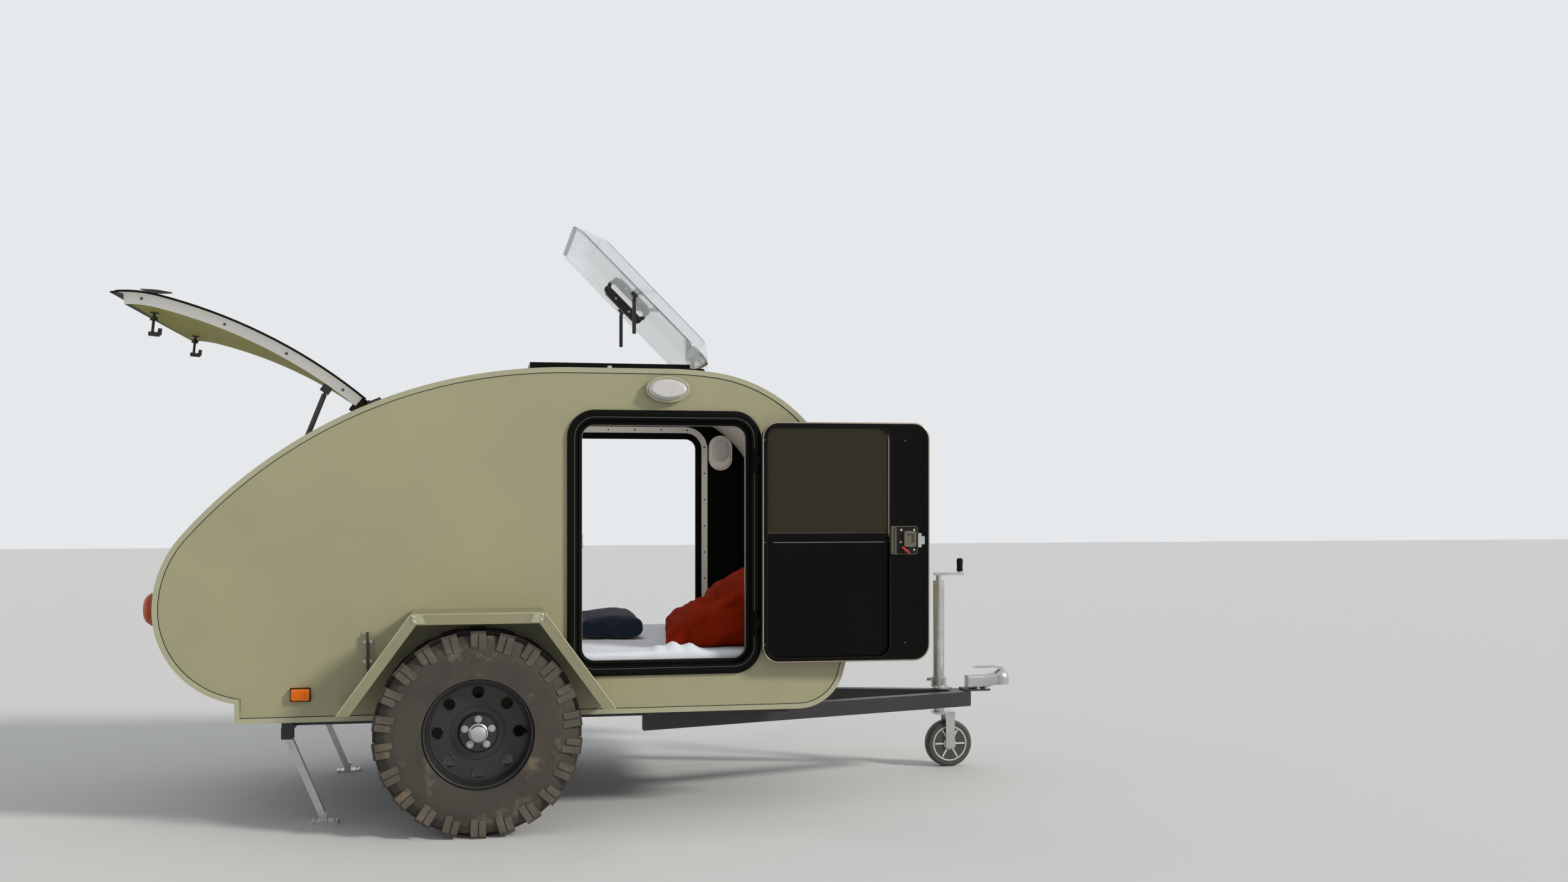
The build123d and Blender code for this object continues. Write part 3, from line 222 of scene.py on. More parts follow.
surface("body", OLIVE, 0.46, mottle=0.05, mottle_scale=2.5, grain=(900.0, 0.14), grain_depth=0.0012)
surface("trim", OLIVE_TRIM, 0.36, mottle=0.05, coat=0.15, grain=(300.0, 0.04))
surface("steel", OLIVE_STEEL, 0.45, mottle=0.07, grain=(500.0, 0.08), wear=((0.30, 0.25, 0.18), 9.0, 0.66))
surface("hatch_underside_grass_tint", HATCH_UNDERSIDE_GRASS_TINT, 0.6, mottle=0.05, grain=(700.0, 0.08), gloss=0.1)
surface("rib", RIB_GREY, 0.4, mottle=0.05, coat=0.1)
surface("lining", LINING_BLACK, 0.75, mottle=0.2, grain=(1200.0, 0.2), gloss=0.04)
surface("liner", LINER_GREY, 0.6, mottle=0.04, grain=(900.0, 0.1))
surface("black", FRAME_BLACK, 0.30, mottle=0.2, grain=(700.0, 0.06), gloss=0.07)
surface("lug", (0.105, 0.092, 0.074), 0.85, mottle=0.22, mottle_scale=14.0, grain=(160.0, 0.5),
        grain_depth=0.002, gloss=0.15, wear=((0.17, 0.13, 0.085), 16.0, 0.56))
surface("rubber", (0.006, 0.006, 0.0055), 0.5, mottle=0.15, gloss=0.08)
surface("bronze", BRONZE, 0.30, metallic=0.5, mottle=0.05)
surface("ring", RING_GREY, 0.36, mottle=0.06)
surface("zinc", (0.50, 0.50, 0.49), 0.34, metallic=0.9, mottle=0.12, mottle_scale=18.0, grain=(260.0, 0.05))
surface("chrome", (0.62, 0.62, 0.62), 0.12, metallic=1.0, mottle=0.03)
surface("steel_black", (0.018, 0.018, 0.018), 0.42, mottle=0.15, grain=(400.0, 0.08),
        wear=((0.10, 0.085, 0.065), 14.0, 0.64))
surface("tyre", RUBBER_BROWN, 0.78, mottle=0.22, mottle_scale=9.0, grain=(500.0, 0.3), grain_depth=0.002,
        wear=((0.17, 0.135, 0.09), 7.0, 0.56))
surface("wheel_rubber", (0.05, 0.05, 0.05), 0.6, mottle=0.12, grain=(600.0, 0.2))
clear("acrylic", (0.95, 0.965, 0.97), 0.04)
surface("smoked", (0.002, 0.002, 0.0018), 0.05, mottle=0.1, rough_spread=0.02, gloss=0.1)
insect_mesh("mesh")
surface("latch", (0.016, 0.015, 0.013), 0.42, mottle=0.08, grain=(900.0, 0.1), gloss=0.12)
surface("latch_light", (0.150, 0.128, 0.098), 0.40, mottle=0.06, gloss=0.2)
# pale line colour; on the door frames it paints highlights
surface("edge_line", (0.23, 0.21, 0.175), 0.3, metallic=0.5, mottle=0.1)
surface("grip", (0.030, 0.025, 0.021), 0.38, mottle=0.1, grain=(600.0, 0.1), gloss=0.25)
surface("red", (0.45, 0.03, 0.015), 0.4, mottle=0.05)
surface("white_plastic", (0.62, 0.60, 0.55), 0.35, mottle=0.04, coat=0.3)
surface("lamp_shade", (0.86, 0.83, 0.74), 0.3, mottle=0.03, grain=(60.0, 0.5), grain_depth=0.003)
ribbed("lens_clear", (0.96, 0.94, 0.91), 150.0, 0.02)
ribbed("lens_orange", (0.98, 0.205, 0.003), 90.0, 0.1)
ribbed("lens_red", (0.60, 0.075, 0.004), 90.0, 0.1)
plywood("ply")
surface("board", (0.06, 0.055, 0.048), 0.55, mottle=0.12, grain=(400.0, 0.1))
weave("sheet", SHEET_SKY_TINTED, 500.0, 0.15, mottle=0.03)
weave("quilt", QUILT, 420.0, 0.22, mottle=0.16, sheen=0.0, gloss=0.06)
weave("navy", NAVY, 350.0, 0.35, mottle=0.15)

# CAD nodes of each look; a name that ends in _ stands for the right and the left one
NODE_LOOK = {
    "body": "side_panel_ roof_panel nose_panel rear_panel hatch_panel",
    "trim": "edge_trim_",
    "steel": "fender_ porch_lamps",
    "black": "door_frame_ door_leaf_ skylight_frame",
    "ring": "door_rings",
    "smoked": "door_glass_",
    "mesh": "door_screen_",
    "latch": "door_latch_",
    "steel_black": "chassis_frame drawbar axle_beam rim_ strut_mounts strut_tube_ hatch_brackets "
                   "hatch_latches hatch_hinge skylight_stays",
    "chrome": "strut_rod_",
    "zinc": "coupling_head jockey_clamp jockey_post jockey_fork steady_",
    "tyre": "tyre_",
    "wheel_rubber": "jockey_wheel",
    "acrylic": "skylight_lid",
    "ply": "bulkhead worktop galley_shelf",
    "board": "floor_panel",
    "lamp_shade": "cabin_lamps",
    "lens_clear": "porch_lenses",
    "lens_orange": "side_markers",
    "lens_red": "tail_lamps",
    "sheet": "mattress",
    "quilt": "quilt",
    "navy": "blanket",
}
for look, names in NODE_LOOK.items():
    for name in names.split():
        for node in (name + "right", name + "left") if name.endswith("_") else (name,):
            slots = cad[node].data.materials
            if not len(slots):
                slots.append(None)
            for index in range(len(slots)):
                slots[index] = MAT[look]

# places read from the frame
JOINTS = {joint["name"]: joint for joint in frame["joints"]}


def closed_to_rest(joint_name):
    """Takes a place on a closed piece to the piece as it stands open in the photograph."""
    joint = JOINTS[joint_name]
    closed = max(joint["range_deg"], key=abs)
    pivot = Matrix.Translation(joint["pos_m"])
    return pivot @ Matrix.Rotation(math.radians(-closed), 4, Vector(joint["axis"])) @ pivot.inverted()


def facing(at, normal, up=(0, 0, 1)):
    """Frame whose Z is the normal and whose Y is as near to up as it can be."""
    z = Vector(normal).normalized()
    x = Vector(up).cross(z).normalized()
    return Matrix.Translation(at) @ Matrix((x, z.cross(x), z)).transposed().to_4x4()


def moved(at, x, y=0.0, z=0.0, turn=0.0):
    """The frame turned about its Z and then moved along its own axes."""
    return at @ Matrix.Rotation(turn, 4, "Z") @ Matrix.Translation((x, y, z))


def mean(points):
    """Mean of some places."""
    return sum(points, Vector((0, 0, 0))) / len(points)


# mesh building
BEAD_SUNK = 0.0006
SMOOTH_DEG = 35.0


def rounded(width, height, radius, steps=6):
    """Closed outline of a rounded rectangle about the origin."""
    points = []
    for sx, sy, start in ((1, 1, 0), (-1, 1, 90), (-1, -1, 180), (1, -1, 270)):
        x, y = sx * (width / 2 - radius), sy * (height / 2 - radius)
        for i in range(steps + 1):
            a = math.radians(start + 90 * i / steps)
            points.append((x + radius * math.cos(a), y + radius * math.sin(a)))
    return points


def ellipse(half_x, half_y, steps):
    """Closed outline of an ellipse about the origin."""
    turns = [math.tau * i / steps for i in range(steps)]
    return [(half_x * math.cos(a), half_y * math.sin(a)) for a in turns]


def half_round(offset, width, height, steps=5):
    """Section of a bead that is let in a little: its middle's place, its width and its height."""
    half = width / 2
    turns = [math.pi * i / steps for i in range(steps + 1)]
    arc = [(offset + half * math.cos(a), height * math.sin(a)) for a in turns]
    return arc + [(offset - half, -BEAD_SUNK), (offset + half, -BEAD_SUNK)]


class Shape:
    """Collects simple closed forms in one mesh. What is added is placed by self.place."""

    def __init__(self, place=None):
        self.mesh = bmesh.new()
        self.place = place or Matrix.Identity(4)

    def skin(self, rings, loop=False):
        """Closed skin over rings of as many points each."""
        count = len(rings[0])
        verts = [self.mesh.verts.new(self.place @ Vector(p)) for ring in rings for p in ring]
        for i in range(len(rings) if loop else len(rings) - 1):
            a, b = i * count, (i + 1) % len(rings) * count
            for j in range(count):
                k = (j + 1) % count
                self.mesh.faces.new((verts[a + j], verts[a + k], verts[b + k], verts[b + j]))
        if not loop:
            self.mesh.faces.new(verts[:count][::-1])
            self.mesh.faces.new(verts[-count:])
        return self

    def lathe(self, at, profile, sides=16):
        """Turned form: at is its frame, profile the (height, radius) pairs along the frame's Z."""
        turns = [math.tau * i / sides for i in range(sides)]
        return self.skin([[at @ Vector((radius * math.cos(a), radius * math.sin(a), height)) for a in turns]
                          for height, radius in profile])

    def pad(self, at, outline, depth, edge=0.001):
        """Plate with a chamfered front edge; outline is in the frame's XY plane, and it must be convex."""
        shrink = 1 - edge / max(max(abs(x), abs(y)) for x, y in outline)
        levels = ((0, 1), (depth - edge, 1), (depth, shrink))
        return self.skin([[at @ Vector((x * share, y * share, up)) for x, y in outline]
                          for up, share in levels])

    def moulding(self, at, outline, section):
        """Sweeps a section of (outward, height) points round a closed outline in the frame's XY plane."""
        rings = []
        for i, (x, y) in enumerate(outline):
            ahead = Vector(outline[(i + 1) % len(outline)]) - Vector(outline[i])
            behind = Vector(outline[i]) - Vector(outline[i - 1])
            along = (ahead.normalized() + behind.normalized()).normalized()
            rings.append([at @ Vector((x + along.y * out, y - along.x * out, up)) for out, up in section])
        return self.skin(rings, loop=True)

    def edging(self, at, outline, *section):
        """Half-round bead along a closed outline; section is what half_round takes."""
        return self.moulding(at, outline, half_round(*section))

    def ring(self, at, radius, sides, width, height, steps=5):
        """Half-round bead round a circle."""
        return self.edging(at, ellipse(radius, radius, sides), 0.0, width, height, steps)

    def bead(self, path, radius, sides=6, loop=False, side_axis=(0, 1, 0)):
        """Round bead along a path of points."""
        rings = []
        count = len(path)
        turns = [math.tau * j / sides for j in range(sides)]
        for i, point in enumerate(path):
            after = path[(i + 1) % count] if loop or i + 1 < count else point
            before = path[i - 1] if loop or i > 0 else point
            along = (after - before).normalized()
            a = along.cross(Vector(side_axis)).normalized()
            b = along.cross(a)
            rings.append([point + radius * (a * math.cos(t) + b * math.sin(t)) for t in turns])
        return self.skin(rings, loop=loop)

    def screw(self, at, radius, height=None):
        """Domed screw head with a sunk socket in it."""
        h = height or radius * 0.55
        shares = ((0.45, 1), (0.85, 0.78), (1, 0.5), (0.7, 0.46), (0.68, 0.1))
        return self.lathe(at, [(-0.0005, radius)] + [(h * up, radius * out) for up, out in shares], 12)

    def nut(self, at, radius, height):
        """Hexagon nut on a washer, with the bolt's end."""
        r, h = radius, height
        self.lathe(at, [(-0.0005, r * 1.5), (h * 0.2, r * 1.45), (h * 0.22, r * 0.9)])
        self.lathe(at, [(h * 0.2, r * 1.1), (h * 0.9, r * 1.1), (h, r * 0.95)], 6)
        self.lathe(at, [(h, r * 0.55), (h * 1.35, r * 0.5)], 10)

    def both_sides(self):
        """Adds the mirror image on the other side of the caravan."""
        parts = self.mesh.verts[:] + self.mesh.edges[:] + self.mesh.faces[:]
        for item in bmesh.ops.duplicate(self.mesh, geom=parts)["geom"]:
            if isinstance(item, bmesh.types.BMVert):
                item.co.y = -item.co.y
        return self

    def twins(self, name, look, slot):
        """One piece on the trailer: the form and its mirror image."""
        self.both_sides().piece(name, look, "trailer", slot)

    def pair(self, name, look, body, slot):
        """One piece on the right and its mirror image on the left, each on its side's body or the trailer."""
        other = Shape()
        other.mesh = self.mesh.copy()
        for vert in other.mesh.verts:
            vert.co.y = -vert.co.y
        for side, shape in (("right", self), ("left", other)):
            shape.piece(name + "_" + side, look, body + "_" + side if body else "trailer", slot)

    def piece(self, name, look, body, slot):
        """The finished object, riding on its body."""
        bmesh.ops.recalc_face_normals(self.mesh, faces=self.mesh.faces[:])
        data = bpy.data.meshes.new(name)
        self.mesh.to_mesh(data)
        self.mesh.free()
        data.shade_smooth()
        data.set_sharp_from_angle(angle=math.radians(SMOOTH_DEG))
        data.materials.append(MAT[look])
        made = add_object(name, data)
        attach(made, body)


def chosen(node, wanted, back=Matrix.Identity(4)):
    """Faces of a CAD node for which wanted(middle, normal) is true. back takes them to the closed piece."""
    turn = back.to_3x3()
    return [face for face in cad[node].data.polygons if wanted(back @ face.center, turn @ face.normal)]


def paint(node, look, *choice):
    """Gives another material to the chosen faces of a CAD node."""
    materials = cad[node].data.materials
    materials.append(MAT[look])
    for face in chosen(node, *choice):
        face.material_index = len(materials) - 1


def corners(node, wanted, back=Matrix.Identity(4)):
    """Corner points of the chosen faces, on the closed piece."""
    points = cad[node].data.vertices
    return [back @ points[index].co for face in chosen(node, wanted, back) for index in face.vertices]


def side_loops(node, level):
    """Closed boundary loops of the node's faces that lie at one Y, longest first."""
    points = cad[node].data.vertices
    used = {}
    for face in chosen(node, lambda p, n: abs(p.y - level) < 0.0002 and abs(n.y) > 0.99):
        keys = [tuple(round(c, 4) for c in points[index].co) for index in face.vertices]
        for edge in zip(keys, keys[1:] + keys[:1]):
            used[frozenset(edge)] = used.get(frozenset(edge), 0) + 1
    spots = {}
    for edge, times in used.items():
        if times == 1 and len(edge) == 2:
            a, b = edge
            spots.setdefault(a, []).append(b)
            spots.setdefault(b, []).append(a)
    loops = []
    while spots:
        path = []
        onward = [min(spots)]
        while onward:
            path.append(onward[0])
            onward = [p for p in spots.pop(path[-1]) if p in spots]
        loops.append([Vector(p) for p in path])
    return sorted(loops, key=lambda loop: -sum((p - q).length for p, q in zip(loop, loop[1:])))


# soft goods
CLOTH = {"quality": 4, "mass": 0.25, "tension_stiffness": 12.0, "compression_stiffness": 12.0,
         "shear_stiffness": 6.0, "bending_stiffness": 0.08, "use_pressure": True}


def shaped(name, source, look, move=None):
    """New mesh from an object's evaluated shape, each point shifted by move(point, normal)."""
    depsgraph = bpy.context.evaluated_depsgraph_get()
    data = bpy.data.meshes.new_from_object(source.evaluated_get(depsgraph))
    if move:
        places = [(vertex.co.copy(), vertex.normal.copy()) for vertex in data.vertices]
        for vertex, (place, normal) in zip(data.vertices, places):
            vertex.co = place + move(place, normal)
    data.materials.clear()
    data.materials.append(MAT[look])
    data.shade_smooth()
    return add_object(name, data)


def remeshed(name, node, look, voxel, rounds, move):
    """Evenly meshed, rounded-off copy of a plain CAD soft solid."""
    rough = add_object(name + "_rough", cad[node].data.copy())
    grid = rough.modifiers.new("grid", "REMESH")
    grid.mode = "VOXEL"
    grid.voxel_size = voxel
    ease = rough.modifiers.new("ease", "SMOOTH")
    ease.factor = 0.5
    ease.iterations = rounds
    made = shaped(name, rough, look, move)
    bpy.data.objects.remove(rough)
    return made


def eased(soft, rounds):
    """Draws each point towards its neighbours, so that no fold ends in a spike."""
    mesh = bmesh.new()
    mesh.from_mesh(soft.data)
    for _ in range(rounds):
        bmesh.ops.smooth_vert(mesh, verts=mesh.verts, factor=0.5, use_axis_x=True, use_axis_y=True,
                              use_axis_z=True)
    mesh.to_mesh(soft.data)
    mesh.free()
    return soft


def swollen(soft, look, pressure, growth, cap, steps):
    """Runs the cloth solver on a closed form, so that its spare cloth wrinkles, and applies the result."""
    start = [v.co.copy() for v in soft.data.vertices]
    cloth = soft.modifiers.new("cloth", "CLOTH")
    for key, value in CLOTH.items():
        setattr(cloth.settings, key, value)
    cloth.settings.uniform_pressure_force = pressure
    cloth.settings.shrink_min = -growth
    cloth.settings.effector_weights.gravity = 0.0
    cloth.collision_settings.use_collision = False
    cloth.point_cache.frame_start = 1
    cloth.point_cache.frame_end = steps
    scene = bpy.context.scene
    for step in range(1, steps + 1):
        scene.frame_set(step)
    name = soft.name
    soft.name = name + "_start"
    made = shaped(name, soft, look)
    for vertex, rest in zip(made.data.vertices, start):
        shift = vertex.co - rest
        if shift.length > cap:
            vertex.co = rest + shift * (cap / shift.length)
    bpy.data.objects.remove(soft)
    scene.frame_set(1)
    return made


def held_in(soft, node, margin):
    """Keeps a soft piece within the margin round the box of its CAD solid, and out of the bed under it."""
    low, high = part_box(node)
    for vertex in soft.data.vertices:
        for axis in range(3):
            vertex.co[axis] = min(max(vertex.co[axis], low[axis] - margin[axis]), high[axis] + margin[axis])
        vertex.co.z = max(vertex.co.z, low.z)


def ripple(point, scale, seed):
    """Smooth noise at a place, about -1 to 1."""
    return noise.noise(Vector((point.x * scale + seed, point.y * scale, point.z * scale)))


def mattress():
    """Sheeted mattress with creases and a heap of folds at the door."""
    low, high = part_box("mattress")
    fold_from, fold_to = 0.12, 0.32
    fold_in = 0.11

    def move(p, n):
        height = (p.z - low.z) / (high.z - low.z)
        crown = -0.004 + 0.006 * max(0.0, n.z) * ripple(p, 5.0, 1.0)
        creases = 0.0018 * ripple(Vector((p.x * 0.35, p.y, p.z)), 46.0, 5.0) * max(0.0, height)
        shift = n * (crown + creases)
        across = (p.x - fold_from) / (fold_to - fold_from)
        edge = -p.y - (high.y - fold_in)
        if 0 < across < 1 and p.z > high.z - 0.06 and edge > 0:
            swell = math.sin(math.pi * across) ** 0.6 * math.sin(min(1.0, edge / fold_in) * math.pi) ** 0.7
            shift.z += 0.032 * swell * (0.75 + 0.35 * math.sin(across * 19 + 3 * ripple(p, 12.0, 2.0)))
        return shift

    made = eased(remeshed("sheeted_mattress", "mattress", "sheet", 0.0125, 4, move), 2)
    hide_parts("mattress")
    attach(made, "trailer")


def quilt():
    """Heaped quilt: lumps, slanting creases and a fold line, swollen as cloth."""
    low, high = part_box("quilt")
    span = high - low
    # place across the bed, share of the full height
    ridge = ((-0.52, 0.90), (-0.20, 1.00), (0.10, 0.88), (0.40, 0.70), (0.52, 0.62))

    def height_share(y):
        """Share of the full height that the heap has at a place across the bed."""
        for (y0, share0), (y1, share1) in zip(ridge, ridge[1:]):
            if y <= y1:
                return share0 + (share1 - share0) * max(0.0, y - y0) / (y1 - y0)
        return ridge[-1][1]

    def move(p, n):
        up = (p.z - low.z) / span.z
        lump = 0.024 * ripple(p, 2.6, 11.0)
        slanted = Vector((p.x * 1.5 - p.z * 1.5, p.y * 0.55, p.z * 1.2 + p.x * 1.0))
        crease = 0.055 * (min(abs(ripple(slanted, 4.4, 3.0)), 0.30) - 0.16)
        small = 0.030 * (min(abs(ripple(slanted, 9.0, 8.0)), 0.28) - 0.14)
        level = low.z + 0.178 + 0.10 * (p.x - 0.45) + 0.03 * ripple(p, 3.0, 5.0)
        valley = -0.020 * math.exp(-((p.z - level) / 0.014) ** 2)
        hold = min(1.0, 0.25 + 3.0 * up)
        sag = (height_share(p.y) - 1) * (p.z - low.z)
        tail = 0.14 * ((p.y - low.y) / span.y) ** 1.3 * (high.x - p.x) / span.x
        return n * (lump + crease + small + valley - 0.004) * hold + Vector((tail, 0, sag))

    made = remeshed("heaped_quilt", "quilt", "quilt", 0.011, 26, move)
    made = swollen(eased(made, 1), "quilt", 1.0, 0.035, 0.014, 20)
    eased(made, 1)
    held_in(made, "quilt", (0.006, 0.01, 0.01))
    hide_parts("quilt")
    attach(made, "trailer")


def blanket():
    """Rolled blanket with soft lumps and lengthwise folds."""
    def move(p, n):
        lump = 0.012 * ripple(p, 7.0, 4.0)
        fold = 0.012 * abs(ripple(Vector((p.x * 0.5, p.y, p.z)), 18.0, 9.0))
        return n * (lump + fold - 0.010)

    made = remeshed("rolled_blanket", "blanket", "navy", 0.0085, 6, move)
    made = eased(swollen(eased(made, 3), "navy", 1.5, 0.04, 0.012, 16), 2)
    held_in(made, "blanket", (0.006, 0.006, 0.006))
    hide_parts("blanket")
    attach(made, "trailer")


# fittings on the doors
FRAME_LOW, FRAME_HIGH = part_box("door_frame_right")
DOOR_X = (FRAME_LOW.x + FRAME_HIGH.x) / 2
DOOR_Z = (FRAME_LOW.z + FRAME_HIGH.z) / 2
DOOR_W = FRAME_HIGH.x - FRAME_LOW.x
DOOR_H = FRAME_HIGH.z - FRAME_LOW.z
DOOR_R = 0.100
FLANGE_OUT = HALF_W + 0.012
LIP_OUT = HALF_W - 0.020
LIP_EDGE = 0.055
RING_PALE = 0.027
RING_SCREWS = 26
LEAF_EDGE = 0.0405
LEAF_IN = HALF_W - 0.015
LEAF_FREE = DOOR_X - DOOR_W / 2 + LEAF_EDGE
LATCH_RIM = 0.150
LEAF_RIM = 0.016
WINDOW_W = DOOR_W - 2 * LEAF_EDGE - LATCH_RIM - LEAF_RIM
WINDOW_H = DOOR_H - 2 * LEAF_EDGE - 2 * LEAF_RIM
WINDOW_X = LEAF_FREE + LATCH_RIM + WINDOW_W / 2
WINDOW_R = DOOR_R - LEAF_EDGE - LEAF_RIM
RAIL_Z = DOOR_Z + WINDOW_H * 0.03
LATCH_Z = DOOR_Z + 0.006
OPEN_RIGHT = closed_to_rest("door_right_hinge")


def on_right(x, z, out):
    """Frame on the right side with its Z outwards and its X forward."""
    return facing((x, -out, z), (0, -1, 0))


def inside_right(x, z, out):
    """Frame on the right side with its Z towards the inside."""
    return facing((x, -out, z), (0, 1, 0))


def in_leaf(x, z, depth=0.0):
    """Frame on the inner face of the closed right leaf, or some depth under that face."""
    return inside_right(x, z, LEAF_IN + depth)


def door_outline(inset):
    """Outline of the door frame, drawn in by the inset."""
    return rounded(DOOR_W - 2 * inset, DOOR_H - 2 * inset, DOOR_R - inset, 9)


def around(outline, count):
    """Evenly spaced points along a closed outline."""
    loop = [Vector(p) for p in outline] + [Vector(outline[0])]
    total = sum((b - a).length for a, b in zip(loop, loop[1:]))
    spots = []
    walked = 0.0
    for a, b in zip(loop, loop[1:]):
        step = (b - a).length
        while step and len(spots) < count and (len(spots) + 0.5) * total / count <= walked + step:
            spots.append(a.lerp(b, ((len(spots) + 0.5) * total / count - walked) / step))
        walked += step
    return spots


def door_frames():
    """Rolled outer profile, thin bright lines that are painted highlights along the profile and the lip's
    edge, bulb seal and keeper of each door frame.
    """
    face = on_right(DOOR_X, DOOR_Z, FLANGE_OUT)
    lip = on_right(DOOR_X, DOOR_Z, LIP_OUT)
    outline = door_outline(0.0)
    roll = Shape().edging(face, outline, -0.0125, 0.021, 0.0024, 8)
    roll.pair("frame_roll", "black", None, "black_frame")
    # pale beads: painted highlights along the profile and along the lip's edge
    line = Shape().edging(face, outline, -0.0262, 0.0018, 0.0012)
    line.edging(lip, door_outline(LIP_EDGE - 0.0012), 0.0, 0.0026, 0.0014)
    line.pair("frame_highlight_line", "edge_line", None, "latch")
    seal = Shape().edging(lip, outline, -0.045, 0.008, 0.0033)
    seal.pair("frame_seal", "rubber", None, "black_frame")
    at = facing((DOOR_X - DOOR_W / 2 + LIP_EDGE, 0.006 - LIP_OUT, LATCH_Z), (1, 0, 0))
    keeper = Shape().pad(at, rounded(0.010, 0.052, 0.002, 3), 0.0025)
    for shift in (-0.018, 0.018):
        keeper.screw(moved(at, 0, shift, 0.0025), 0.0032)
    keeper.pair("latch_keeper", "zinc", None, "zinc")


def clamp_rings():
    """Small dark screws in the pale half of the inner rings, and a black lip over the other half."""
    face = inside_right(DOOR_X, DOOR_Z, HALF_W - 0.031)
    screws = Shape()
    for spot in around(door_outline(RING_PALE / 2), RING_SCREWS):
        screws.screw(moved(face, spot.x, spot.y), 0.0038, 0.0014)
    screws.pair("ring_screws", "steel_black", None, "black_frame")
    width = LIP_EDGE - RING_PALE
    section = [(0.0, 0.0004), (-0.002, 0.0024), (0.002 - width, 0.0024), (-width, 0.0010), (-width, -0.0006),
               (0.0, -0.0006)]
    Shape().moulding(face, door_outline(RING_PALE), section).pair("ring_lips", "black", None, "black_frame")


def door_leaves():
    """Bronze edge line, window gaskets, rail lines and screws of each leaf."""
    inner = in_leaf(DOOR_X, DOOR_Z)
    pane = rounded(WINDOW_W, WINDOW_H, WINDOW_R, 8)
    rolled = [(-0.0045, -0.001), (-0.0042, 0.0006), (-0.003, 0.0011), (-0.0012, 0.0004), (0.0004, -0.0016),
              (0.0006, -0.0034), (-0.001, -0.0036)]
    edge = Shape(OPEN_RIGHT).moulding(inner, door_outline(LEAF_EDGE), rolled)
    edge.pair("leaf_edge", "bronze", "door", "screen")
    gasket = Shape(OPEN_RIGHT).edging(in_leaf(WINDOW_X, DOOR_Z), pane, 0.0008, 0.0066, 0.0024)
    gasket.edging(on_right(WINDOW_X, DOOR_Z, LEAF_IN + 0.026), pane, 0.003, 0.014, 0.0036)
    gasket.edging(inner, door_outline(LEAF_EDGE + 0.0095), 0.0, 0.003, 0.0009)
    gasket.pair("leaf_gasket", "rubber", "door", "black_frame")
    lines = Shape(OPEN_RIGHT)
    for rise, depth, length, tall in ((0.0082, 0.001, 0.990, 0.0009), (-0.0255, 0.002, 0.900, 0.0022)):
        strip = rounded(WINDOW_W * length, tall, 0.0004, 2)
        lines.pad(in_leaf(WINDOW_X, RAIL_Z + rise, depth), strip, 0.0012, 0.0003)
    lines.pair("rail_lines", "edge_line", "door", "latch")
    pins = Shape(OPEN_RIGHT)
    for x, z in ((0.237, -0.372), (0.237, 0.0), (0.237, 0.372), (-0.285, -0.372), (-0.285, 0.372)):
        pins.screw(in_leaf(WINDOW_X + x, DOOR_Z + z), 0.0016, 0.0010)
    pins.pair("leaf_pins", "zinc", "door", "zinc")


def latches():
    """The screws, the rim, the dark cap and the red lever of each latch plate."""
    screws = Shape(OPEN_RIGHT)
    for x, z in ((0.1088, 0.0376), (0.0601, 0.0376), (0.1103, -0.0072), (0.0601, -0.0349)):
        screws.screw(in_leaf(LEAF_FREE + x, LATCH_Z + z, -0.004), 0.0040, 0.0018)
    screws.pair("latch_screws", "white_plastic", "door", "zinc")
    plate = in_leaf(LEAF_FREE + 0.0975, LATCH_Z, -0.004)
    rim = Shape(OPEN_RIGHT).edging(plate, rounded(0.101, 0.103, 0.008, 5), -0.0006, 0.0022, 0.0008)
    rim.pair("latch_rim", "latch_light", "door", "latch")
    cap = Shape(OPEN_RIGHT).lathe(in_leaf(LEAF_FREE + 0.073, LATCH_Z - 0.028, -0.012),
                                  [(-0.002, 0.006), (0.001, 0.006), (0.0022, 0.0045), (0.0022, 0.0008)], 20)
    cap.pair("latch_cap", "black", "door", "black_frame")
    slanted = moved(in_leaf(LEAF_FREE + 0.0935, LATCH_Z - 0.0355, -0.0038), 0.0, turn=math.radians(-39))
    lever = Shape(OPEN_RIGHT).pad(slanted, rounded(0.036, 0.0078, 0.0032, 4), 0.0138, 0.0009)
    lever.pair("latch_lever", "red", "door", "latch")


def painted_doors():
    """The finishes of each CAD node's features, told apart by their place on the closed door."""
    paddle = LEAF_FREE + 0.077
    raised = LEAF_IN - 0.0045
    for side, sign in (("right", -1), ("left", 1)):
        back = closed_to_rest("door_%s_hinge" % side).inverted()
        for node, look, wanted in (
                ("latch", "latch_light", lambda p, n: p.x > LEAF_FREE + 0.128),
                ("latch", "black", lambda p, n: abs(p.y) > LEAF_IN + 0.01),
                ("latch", "latch_light", lambda p, n: abs(p.x - paddle) < 0.0222
                 and abs(p.z - LATCH_Z - 0.005) < 0.0292 and abs(p.y) < raised),
                ("latch", "latch", lambda p, n: abs(p.x - paddle - 0.006) < 0.024
                 and p.z < LATCH_Z - 0.0245 and abs(p.y) < raised),
                ("latch", "zinc", lambda p, n: p.x < LEAF_FREE + 0.0458 and abs(p.y) < LEAF_IN + 0.001),
                ("screen", "bronze", lambda p, n: p.x < WINDOW_X - WINDOW_W / 2 + 0.0075),
                ("screen", "black", lambda p, n: RAIL_Z - 0.0275 < p.z < RAIL_Z + 0.0091
                 and abs(p.y) - LEAF_IN < 0.0099)):
            paint("door_%s_%s" % (node, side), look, wanted, back)
        paint("side_panel_" + side, "lining", lambda p, n: n.y * sign < -0.5)


# fittings on the hatch and the skylight
OPEN_HATCH = closed_to_rest("hatch_hinge")
OPEN_LID = closed_to_rest("skylight_hinge")
HATCH_BACK = OPEN_HATCH.inverted()
HATCH_SKIN_HALF = HALF_W + 0.003
HATCH_CORE_HALF = HALF_W - 0.034
HATCH_HEART = Vector((-0.55, 0.0, 0.9))


